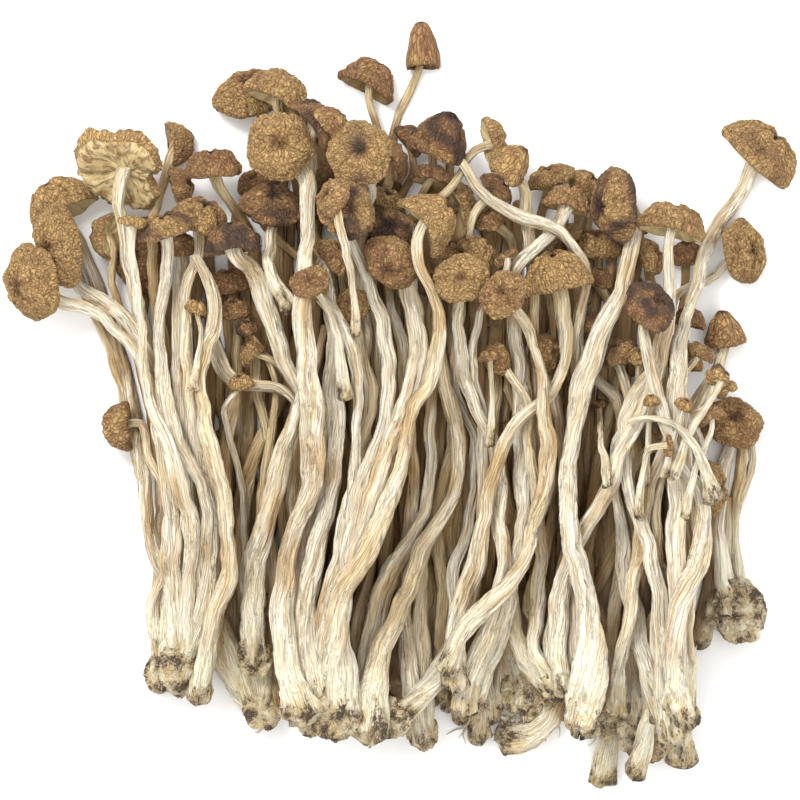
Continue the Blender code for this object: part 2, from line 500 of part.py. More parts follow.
def cap_axes(turn, tilt):
    """The cap's side, lower-to-upper and crown directions: the crown turns in the plane, then tilts up."""
    turn, tilt = math.radians(turn), math.radians(tilt)
    crown = np.array([math.cos(tilt) * math.cos(turn), math.cos(tilt) * math.sin(turn), math.sin(tilt)])
    side = np.array([math.sin(turn), -math.cos(turn), 0.0])
    return np.stack([side, np.cross(crown, side), crown])


def cap_shape(down, around, form, seed):
    """Points of a cap of half-width 1, its rim at height 0.

    down runs from the crown (0) over the rim (RIM) to the middle of the underside (1), around is an angle. The
    crown is a rounded dome with a dent; the underside rises into a shallow hollow; radial wrinkles and gills
    swell and sink the surface, two sides fold down, the rim waves, curls up or is torn back on one side.
    """
    f = FORMS[form]
    over = np.clip(down / RIM, 0.0, 1.0)
    under = np.clip((down - RIM) / (1.0 - RIM), 0.0, 1.0)
    on_top = down <= RIM
    reach = np.where(on_top, np.sin(over * math.pi / 2) ** 0.85, np.cos(under * math.pi / 2) ** 0.8)
    top = f["crown"] * np.cos(over * math.pi / 2) ** 1.15 - f["dent"] * np.exp(-(over / 0.3) ** 2)
    low = f["hollow"] * np.sin(under * math.pi / 2) ** 1.5 - LIP * np.sin(under * math.pi)
    ridges = WRINKLE * np.cos(RIDGES * around) * np.sin(np.clip(reach, 0, 1) * math.pi) ** 0.5
    height = np.where(on_top, top + ridges, low - 0.7 * ridges)
    phase = seed * 2.4
    reach = reach * (1 + 0.05 * np.cos(2 * around + phase) + 0.045 * np.sin(5 * around + 1.7 * phase))
    tear = np.exp(-((np.angle(np.exp(1j * (around - phase))) / 0.5) ** 2))
    reach = reach * (1 - f["torn"] * tear)
    x, y = reach * np.cos(around), reach * np.sin(around)
    height = height - f["fold"] * x ** 2 * (1.3 - 0.3 * reach) + f["curl"] * reach ** 3
    return np.stack([x * (1 - 0.12 * f["fold"]), y, height], axis=-1)


def neck_drop(mushroom):
    """How far under the plane of its rim, in mm, the stem leaves the cap's axis."""
    half, neck = mushroom[3], mushroom[6]
    return 1.15 * neck + 0.06 * half


def stem_seat(mushroom):
    """How far over the neck, in mm, the stem ends inside the cap: halfway between hollow and crown."""
    f = FORMS[mushroom[0]]
    pressed = 1.0 - PRESSED * math.sin(math.radians(mushroom[5])) ** 4
    crown = f["crown"] - max(f["dent"], 0.0)
    return neck_drop(mushroom) + 0.5 * mushroom[3] * pressed * (f["hollow"] + crown)


def cap_points(mushroom, down, around, seed):
    """The cap's points in mm about its neck: its shape, sized, pressed flatter and facing the right way."""
    form, _, _, half, turn, tilt = mushroom[:6]
    lying = math.cos(math.radians(tilt)) ** 2
    pressed = np.array([1.0, 1.0 - PRESSED * lying, 1.0 - PRESSED * (1.0 - lying) ** 2])
    shape = half * cap_shape(down, around, form, seed) * pressed + np.array([0.0, 0.0, neck_drop(mushroom)])
    return shape @ cap_axes(turn, tilt)


def along(route):
    """How far along the stem each of its points lies."""
    return np.concatenate([[0], np.cumsum(np.hypot(*np.diff(route, axis=0).T))])


def stem_route(mushroom):
    """The stem's points seen from above, from its neck to its foot, and its half-width at each."""
    form, x, y, half, turn, tilt, neck, foot, bends = mushroom
    start = np.array([x, y], float)
    if form:
        back = CAP_MIDDLE * FORMS[form]["crown"] * half + neck_drop(mushroom)
        start = start - back * cap_axes(turn, tilt)[2][:2]
    clear = [bend for bend in bends if math.dist(bend, start) > NECK_CLEAR]
    route = np.vstack([start, np.array(clear, float)])
    share = along(route) / along(route)[-1]
    width = neck + (foot - neck) * share ** 0.8
    width[-1] *= FOOT_SWELLS
    return route, width


def across(route, width):
    """Sample spots over the stem's shadow: their place along it, and the spots and thicknesses across it."""
    run = along(route)
    steps = np.linspace(0, run[-1], int(run[-1] / SAMPLE) + 2)
    middle = np.stack([np.interp(steps, run, route[:, k]) for k in range(2)], axis=-1)
    radius = np.interp(steps, run, width)
    ahead = np.diff(route, axis=0)
    piece = np.clip(np.searchsorted(run, steps, side="right") - 1, 0, len(ahead) - 1)
    unit = ahead[piece] / np.linalg.norm(ahead[piece], axis=1, keepdims=True)
    normal = np.stack([-unit[:, 1], unit[:, 0]], axis=-1)
    offset = np.linspace(-1, 1, SAMPLES_ACROSS)
    spots = middle[:, None] + normal[:, None] * (offset[None, :, None] * radius[:, None, None])
    thick = radius[:, None] * np.sqrt(np.clip(1 - offset[None] ** 2, 0, 1))
    return steps, spots, thick


def cell_of(spots):
    """The height map's row and column under each spot."""
    column = np.clip(((spots[..., 0] + FIELD_X) / CELL).astype(int), 1, int(2 * FIELD_X / CELL) - 2)
    row = np.clip(((spots[..., 1] + FIELD_Y) / CELL).astype(int), 1, int(2 * FIELD_Y / CELL) - 2)
    return row, column


def widened(ground):
    """Each cell takes the highest of itself and its eight neighbours."""
    out = ground.copy()
    for rows in (-1, 0, 1):
        for columns in (-1, 0, 1):
            out = np.maximum(out, np.roll(np.roll(ground, rows, axis=0), columns, axis=1))
    return out


def roll_down(route, width, ground, freedom):
    """Let the stem's bends roll sideways, by at most the freedom, to where what lies under them is lowest."""
    rolled = route.copy()
    for _ in range(2):
        for i in range(1, len(route) - 1):
            ahead = route[i + 1] - route[i - 1]
            aside = np.array([-ahead[1], ahead[0]]) / np.hypot(*ahead)
            low, high = max(i - 1, 0), min(i + 2, len(route))
            best = None
            for step in np.arange(-freedom, freedom + 0.01, freedom / 4):
                trial = rolled.copy()
                trial[i] = route[i] + aside * step
                _, spots, thick = across(trial[low:high], width[low:high])
                need = (ground[cell_of(spots)] + thick).max(axis=1)
                cost = need.mean() + 0.4 * need.max() + 0.25 * (step / freedom) ** 2
                if best is None or cost < best[0] - 1e-6:
                    best = (cost, trial)
            rolled = best[1]
    return rolled


def straightened(route, width, straight, longest):
    """The route without the bends that it runs nearly straight past, where no run gets over the longest."""
    kept = [0]
    for i in range(1, len(route) - 1):
        chord = route[i + 1] - route[kept[-1]]
        length = np.linalg.norm(chord)
        aside = route[i] - route[kept[-1]]
        off = np.linalg.norm(aside - chord * (aside @ chord) / length ** 2)
        if off > straight or len(route) < 5 or length > longest:
            kept.append(i)
    kept.append(len(route) - 1)
    return route[kept], width[kept]


def lay_rod(run, steps, need, foot_height):
    """Heights of a stiff rod's points, as low as it can lie with every step at or over its need.

    The rod starts high, sags a little, evens out between neighbours and is lifted where it is too low, over and
    over, so that it ends resting on the highest things under it. A tuft holds its foot at one height.
    """
    weights = np.stack([np.interp(steps, run, row) for row in np.eye(len(run))], axis=-1)
    power = (weights ** 2).sum(axis=1)
    z = np.full(len(run), need.max())
    gaps = np.diff(run)
    for turn in range(SETTLE_TURNS):
        z = z - (COARSE_SAG if turn < 2 * SETTLE_TURNS / 3 else FINE_SAG)
        even = z.copy()
        even[1:-1] = (z[:-2] * gaps[1:] + z[2:] * gaps[:-1]) / (gaps[1:] + gaps[:-1])
        even[0] = z[1] + END_STIFFNESS * (z[1] - z[2]) * gaps[0] / gaps[1]
        even[-1] = z[-2] + END_STIFFNESS * (z[-2] - z[-3]) * gaps[-1] / gaps[-2]
        z = z + STIFFNESS * (even - z)
        if foot_height is not None:
            z[-1] = foot_height
        for _ in range(60):
            short = need - weights @ z
            worst = int(np.argmax(short / power ** 0.5))
            if short[worst] < 0.01:
                break
            z = z + weights[worst] * short[worst] / power[worst]
    return z


def foot_spots(foot):
    """Sample spots over a tuft's foot and the half-thickness of the foot at each."""
    x, y, half = foot
    offsets = np.stack(np.meshgrid(np.linspace(-1, 1, 21), np.linspace(-1, 1, 21)), axis=-1)
    inside = offsets[(offsets ** 2).sum(axis=-1) < 1]
    return np.array([x, y]) + inside * half, half * FOOT_FLATNESS * np.sqrt(1 - (inside ** 2).sum(axis=-1))


def foot_height(foot, routes, others):
    """The lowest height at which a tuft's foot, with its stems' joined ends, lies clear of what is under it."""
    spots, dip = foot_spots(foot)
    height = float((others[cell_of(spots)] + GAP + dip).max())
    for route, width in routes:
        steps, spots, thick = across(route, width)
        joined = steps > steps[-1] - FOOT_JOINED
        height = max(height, float((others[cell_of(spots)] + GAP + thick)[joined].max()))
    return height


def lay_mushroom(mushroom, route, width, seed, others, own, foot_z):
    """Lay one mushroom over the others and its own tuft's, mark it in its tuft's map and give its points."""
    steps, spots, thick = across(route, width)
    cells = cell_of(spots)
    need = (others[cells] + GAP + thick).max(axis=1)
    if foot_z is not None:
        from_foot = steps[-1] - steps
        ease = np.clip((from_foot - FOOT_JOINED) / (FOOT_CLEAR - FOOT_JOINED), 0, 1)
        free = (widened(own)[cells] + GAP + thick).max(axis=1) - (1 - ease) * 2.4 * width.max()
        need = np.maximum(need, np.where(from_foot > FOOT_JOINED, free, NOWHERE))
    if mushroom[0]:
        down, around = np.meshgrid(np.linspace(0, 1, 25), np.linspace(0, 2 * math.pi, 73))
        cap = cap_points(mushroom, down, around, seed)
        cap_cells = cell_of(route[0] + cap[..., :2])
        need[0] = max(need[0], float((np.maximum(others, widened(own))[cap_cells] + GAP - cap[..., 2]).max()))
    heights = lay_rod(along(route), steps, need, foot_z)
    np.maximum.at(own, cells, np.interp(steps, along(route), heights)[:, None] + thick)
    if mushroom[0]:
        np.maximum.at(own, cap_cells, heights[0] + cap[..., 2])
    return np.column_stack([route, heights])


def freedom_of(name):
    """How far a piece's bends may roll."""
    return next((value for start, value in FREEDOM.items() if name.startswith(start)), LOOSE)


def lay_pile():
    """Lay every piece in turn. Gives, for each, its foot, the foot's height, and its mushrooms with their points,
    half-widths and seeds."""
    shape = (int(2 * FIELD_Y / CELL), int(2 * FIELD_X / CELL))
    ground = np.full(shape, -PRESS - GAP)
    laid = []
    seed = 0
    for name, foot, mushrooms in PILE:
        others = widened(ground)
        own = np.full(shape, NOWHERE)
        routes = [stem_route(mushroom) for mushroom in mushrooms]
        foot_z = foot_height(foot, routes, others) if foot else None
        pieces = []
        for mushroom, (route, width) in zip(mushrooms, routes):
            seed += 1
            under = np.maximum(others, widened(own)) if foot else others
            rolled = roll_down(route, width, under, freedom_of(name))
            route, width = straightened(rolled, width, STRAIGHT, LONGEST_RUN)
            points = lay_mushroom(mushroom, route, width, seed, others, own, foot_z)
            points, width = straightened(points, width, SETTLED_STRAIGHT, FIELD_X)
            pieces.append((mushroom, points, width, seed))
        if foot:
            spots, dip = foot_spots(foot)
            np.maximum.at(own, cell_of(spots), foot_z + dip)
        ground = np.maximum(ground, own)
        laid.append((name, foot, foot_z, pieces))
    return laid


def clear_scene():
    """Remove whatever the scene holds."""
    for old in list(bpy.data.objects):
        bpy.data.objects.remove(old, do_unlink=True)


def new_collection(name):
    """A collection of the scene."""
    made = bpy.data.collections.new(name)
    bpy.context.scene.collection.children.link(made)
    return made


def finish(name, colour, roughness):
    """A dry, dull material."""
    material = bpy.data.materials.new(name)
    material.use_nodes = True
    shader = material.node_tree.nodes["Principled BSDF"]
    shader.inputs["Base Color"].default_value = (*colour, 1.0)
    shader.inputs["Roughness"].default_value = roughness
    shader.inputs["Metallic"].default_value = 0.0
    material.diffuse_color = (*colour, 1.0)
    return material


def sphere_part(name, segments, rings, shape, material, group):
    """A sphere whose points are moved by a shape function of how far down and around they lie."""
    ball = bmesh.new()
    bmesh.ops.create_uvsphere(ball, u_segments=segments, v_segments=rings, radius=1.0)
    spots = np.array([vert.co for vert in ball.verts])
    down = np.arccos(np.clip(spots[:, 2], -1, 1)) / math.pi
    around = np.arctan2(spots[:, 1], spots[:, 0])
    for vert, point in zip(ball.verts, shape(down, around)):
        vert.co = (point[0] * MM, point[1] * MM, point[2] * FLATTENED * MM)
    mesh = bpy.data.meshes.new(name)
    ball.to_mesh(mesh)
    ball.free()
    mesh.materials.append(material)
    made = bpy.data.objects.new(name, mesh)
    group.objects.link(made)
    return made


def cap_part(mushroom, neck, seed, material, group):
    """One cap, with a row of points exactly on its rim."""
    big = mushroom[3] > BIG_CAP
    segments = BIG_CAP_SEGMENTS if big else SMALL_CAP_SEGMENTS
    rings = BIG_CAP_RINGS if big else SMALL_CAP_RINGS
    rim_row = (rings - 2) / rings

    def shape(down, around):
        under = RIM + (down - rim_row) / (1 - rim_row) * (1 - RIM)
        down = np.where(down <= rim_row + 1e-6, down / rim_row * RIM, under)
        return neck + cap_points(mushroom, np.round(down, 6), around, seed)

    return sphere_part("cap", segments, rings, shape, material, group)


def foot_part(foot, foot_z, seed, material, group):
    """The lumpy foot that a tuft's stems share."""
    x, y, half = foot

    def shape(down, around):
        lumps = 0.9 + 0.1 * np.sin(3 * around + seed) * np.cos(5 * down + 2 * seed)
        flat = np.sin(down * math.pi) * lumps
        ball = np.stack([flat * np.cos(around), flat * np.sin(around),
                         np.cos(down * math.pi) * FOOT_FLATNESS], axis=-1)
        return np.array([x, y, foot_z]) + half * ball

    return sphere_part("foot", FOOT_SEGMENTS, FOOT_RINGS, shape, material, group)


def stem_part(points, width, hidden, material, group):
    """One stem: a tube along its points, closed at both ends, made a mesh and pressed flat."""
    curve = bpy.data.curves.new("stem", "CURVE")
    curve.dimensions = "3D"
    curve.bevel_depth = MM
    curve.bevel_resolution = HIDDEN_STEM_STEPS if hidden else STEM_STEPS
    curve.use_fill_caps = True
    spline = curve.splines.new("POLY")
    spline.points.add(len(points) - 1)
    for spot, point, half in zip(spline.points, points, width):
        spot.co = (*(point * MM), 1.0)
        spot.radius = half
    tube = bpy.data.objects.new("stem", curve)
    group.objects.link(tube)
    bpy.context.view_layer.update()
    mesh = bpy.data.meshes.new_from_object(tube.evaluated_get(bpy.context.evaluated_depsgraph_get()))
    made = bpy.data.objects.new("stem", mesh)
    made.matrix_world = tube.matrix_world
    bpy.data.objects.remove(tube, do_unlink=True)
    welded = bmesh.new()
    welded.from_mesh(mesh)
    bmesh.ops.remove_doubles(welded, verts=welded.verts, dist=WELD)
    for vert in welded.verts:
        vert.co.z *= FLATTENED
    welded.to_mesh(mesh)
    welded.free()
    mesh.materials.clear()
    mesh.materials.append(material)
    group.objects.link(made)
    return made


def mushroom_parts(mushroom, points, width, seed, hidden, materials, group):
    """One mushroom's stem, which runs up into its cap, and the cap."""
    stem_finish, cap_finish = materials
    if not mushroom[0]:
        return [stem_part(points, width, hidden, stem_finish, group)]
    crown = cap_axes(*mushroom[4:6])[2]
    seat = points[0] + stem_seat(mushroom) * crown
    stem = stem_part(np.vstack([seat, points]), np.append(width[0], width), hidden, stem_finish, group)
    return [stem, cap_part(mushroom, points[0], seed, cap_finish, group)]


def grown_together(name, parts, bunch):
    """Fuse a mushroom's or a tuft's parts into one closed body."""
    body = parts[0]
    body.name = name
    body.data.name = name
    others = new_collection(name + "_parts")
    for part in parts[1:]:
        others.objects.link(part)
    union = body.modifiers.new("grown_together", "BOOLEAN")
    union.operation = "UNION"
    union.operand_type = "COLLECTION"
    union.collection = others
    union.material_mode = "TRANSFER"
    bunch.objects.link(body)
    bpy.context.view_layer.objects.active = body
    bpy.ops.object.modifier_apply(modifier=union.name)
    for part in parts[1:]:
        bpy.data.objects.remove(part, do_unlink=True)
    bpy.data.collections.remove(others)
    return body


def floor_cutter(cutters):
    """The surface that the pile lies on: the lowest pieces are cut flat where they press on it."""
    bpy.ops.mesh.primitive_cube_add(size=1.0)
    block = bpy.context.object
    block.name = "surface_cutter"
    block.scale = (2 * FIELD_X * MM, 2 * FIELD_Y * MM, FLOOR_DEPTH * MM)
    block.location = (0.0, 0.0, -0.5 * FLOOR_DEPTH * MM)
    block.hide_render = True
    block.display_type = "WIRE"
    for home in list(block.users_collection):
        home.objects.unlink(block)
    cutters.objects.link(block)
    return block


def cut_flat(body, block):
    """Cut the body level with the surface where it presses on it."""
    if min(vert.co.z for vert in body.data.vertices) < 0.0:
        cut = body.modifiers.new("pressed_on_surface", "BOOLEAN")
        cut.operation = "DIFFERENCE"
        cut.solver = "MANIFOLD"
        cut.object = block


def set_origin(body, foot):
    """Put the body's origin at its foot."""
    offset = Vector(foot) * MM
    body.data.transform(Matrix.Translation(-offset))
    body.location = offset


def build():
    """Model the whole pile."""
    clear_scene()
    bunch = new_collection(PART_NAME)
    cutters = new_collection("cutters")
    block = floor_cutter(cutters)
    pile = bpy.data.objects.new("pile", None)
    pile.location = (-PILE_MIDDLE[0] * MM, -PILE_MIDDLE[1] * MM, 0.0)
    bunch.objects.link(pile)
    block.parent = pile
    for number, (name, foot, foot_z, pieces) in enumerate(lay_pile()):
        shade = 1.0 + 0.10 * math.sin(2.4 * number)
        stem_finish = finish("stem_" + name, [shade * part for part in STEM_COLOUR], STEM_ROUGHNESS)
        cap_finish = finish("cap_" + name, [shade * part for part in CAP_COLOUR], CAP_ROUGHNESS)
        group = new_collection(name + "_making")
        parts = []
        for mushroom, points, width, seed in pieces:
            parts += mushroom_parts(mushroom, points, width, seed, number < HIDDEN,
                                    (stem_finish, cap_finish), group)
        if foot:
            parts.append(foot_part(foot, foot_z, number, stem_finish, group))
        body = grown_together(name, parts, bunch) if len(parts) > 1 else parts[0]
        if len(parts) == 1:
            body.name = name
            bunch.objects.link(body)
        bpy.data.collections.remove(group)
        last = pieces[0][1][-1]
        body.data.shade_smooth()
        set_origin(body, (last[0], last[1], last[2] * FLATTENED))
        body.parent = pile
        cut_flat(body, block)


build()
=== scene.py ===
"""The looks of a bunch of dried tea tree mushrooms, lying as one loose pile and looked down on.

The frame has +X to the right, +Y towards the caps and +Z up, with the origin on the surface under the
middle of the pile. The table of mushrooms and the way the pile is laid are the part's own, so every cap and
stem here lies where its solid lies. Each solid is replaced by one piece with wrinkled caps, fibrous stems and
a dirty foot.
"""
import math

import bpy
import numpy as np
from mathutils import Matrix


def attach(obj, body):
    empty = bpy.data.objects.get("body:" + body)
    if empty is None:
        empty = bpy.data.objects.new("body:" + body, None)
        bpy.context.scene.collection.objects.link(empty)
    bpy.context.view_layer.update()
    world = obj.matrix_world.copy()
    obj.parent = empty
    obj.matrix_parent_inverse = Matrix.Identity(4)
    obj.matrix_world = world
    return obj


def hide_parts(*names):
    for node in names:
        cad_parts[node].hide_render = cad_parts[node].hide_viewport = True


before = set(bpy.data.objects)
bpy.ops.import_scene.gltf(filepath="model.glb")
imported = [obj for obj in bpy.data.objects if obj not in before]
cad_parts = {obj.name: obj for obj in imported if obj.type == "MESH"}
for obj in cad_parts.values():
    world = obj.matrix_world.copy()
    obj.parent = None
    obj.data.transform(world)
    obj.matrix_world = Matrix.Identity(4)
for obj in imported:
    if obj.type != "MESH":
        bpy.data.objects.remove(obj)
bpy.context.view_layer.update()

MM = 0.001

# The pile, in mm: the middle of its outline, the clear gap between pieces and how far the lowest ones
# press into the surface. As shares: how high it lies of its laid height, and how much flatter its caps
# are pressed
PILE_MIDDLE = (-0.037, 0.669)
GAP = 0.5
PRESS = 0.8
FLATTENED = 0.78
PRESSED = 0.4

# The map of heights in which the pieces are laid, in mm: its half-sizes, its cell, the step of the
# samples along a stem and a height under everything; and the samples across a stem, over a cap and over a
# foot
FIELD_X = 112.0
FIELD_Y = 108.0
CELL = 0.5
SAMPLE = 0.7
NOWHERE = -99.0
SAMPLES_ACROSS = 15
CAP_SAMPLES = (25, 73)
FOOT_SAMPLES = 21

# How a stem settles: the turns it takes, how many of them are coarse, how much it sags in each and how
# much it evens out; how often it is lifted in a turn at most, and how many mm too low it may stay
SETTLE_TURNS = 90
COARSE_TURNS = 60
COARSE_SAG = 0.9
FINE_SAG = 0.2
STIFFNESS = 0.08
LIFTS = 60
TOO_LOW = 0.01

# How a tuft spreads: its stems are one body up to the first length and clear from the second, in mm, and
# may cut as deep as the share of their half-width between; its foot is flatter than wide. Every stem
# widens towards its foot by a power of its length, and swells at its end
FOOT_JOINED = 10.0
FOOT_CLEAR = 34.0
FOOT_CUT = 2.4
FOOT_FLATNESS = 0.55
WIDENING = 0.8
FOOT_SWELLS = 1.2

# A bend is left out where the stem runs this straight past it, in mm: before it settles, where that
# leaves no run longer than the last number, and after
STRAIGHT = 0.45
SETTLED_STRAIGHT = 0.2
LONGEST_RUN = 30.0

# Every cap, as shares of its half-width where no other is said: where its rim lies from crown to
# underside, its wrinkles, the lip under its rim, how wide its dent is, how its rim waves in two and in
# five, how wide a tear is in radians, how the waves turn from cap to cap, where its seen middle lies up
# the crown, and the nearest that a bend comes to the neck, in mm
RIM = 0.64
RIDGES = 6
WRINKLE = 0.06
LIP = 0.10
DENT_WIDTH = 0.3
WAVE_IN_TWO = 0.05
WAVE_IN_FIVE = 0.045
TEAR_WIDTH = 0.5
WAVE_TURN = 2.4
CAP_MIDDLE = 0.4
NECK_CLEAR = 2.5

# How far under the rim the stem leaves the cap, as shares of the neck's and of the cap's half-width
DROP_OF_NECK = 1.15
DROP_OF_CAP = 0.06

# How far, in mm, the bends of a piece may roll sideways as it settles, by how its name starts: least for
# those that lie on top. How often they roll, the trials to one side, and what a high spot and the rolling
# itself cost
FREEDOM = {"mushroom_front": 0.8, "tuft_big": 0.8, "tuft_centre": 1.0, "mushroom_mid": 1.6, "tuft_mid": 2.4,
           "tuft_outlying": 0.5, "tuft_low": 0.8, "tuft_left": 2.0, "mushroom_right": 2.5, "tuft_right": 3.0}
LOOSE = 4.0
ROLLS = 2
ROLL_TRIALS = 4
HIGH_SPOT_COST = 0.4
ROLLING_COST = 0.25

# Cap forms, as shares of the cap's half-width: how high the crown stands over the rim, the dent in it,
# how far the underside hollows, how much two sides fold down, how much the rim turns up, and what is torn
# from the rim
FORMS = {
    "round": dict(crown=0.76, dent=0.10, hollow=0.16, fold=0.06, curl=0.0, torn=0.0),
    "button": dict(crown=0.95, dent=0.04, hollow=0.06, fold=0.05, curl=0.0, torn=0.0),
    "flat": dict(crown=0.56, dent=0.12, hollow=0.08, fold=0.04, curl=0.0, torn=0.0),
    "umbrella": dict(crown=0.92, dent=0.03, hollow=0.36, fold=0.12, curl=0.0, torn=0.0),
    "folded": dict(crown=0.84, dent=0.05, hollow=0.22, fold=0.34, curl=0.0, torn=0.08),
    "pointed": dict(crown=1.15, dent=-0.32, hollow=0.12, fold=0.12, curl=0.0, torn=0.10),
    "bell": dict(crown=2.70, dent=0.02, hollow=0.80, fold=0.10, curl=0.0, torn=0.0),
    "torn": dict(crown=0.42, dent=0.06, hollow=0.10, fold=0.10, curl=0.22, torn=0.45),
}

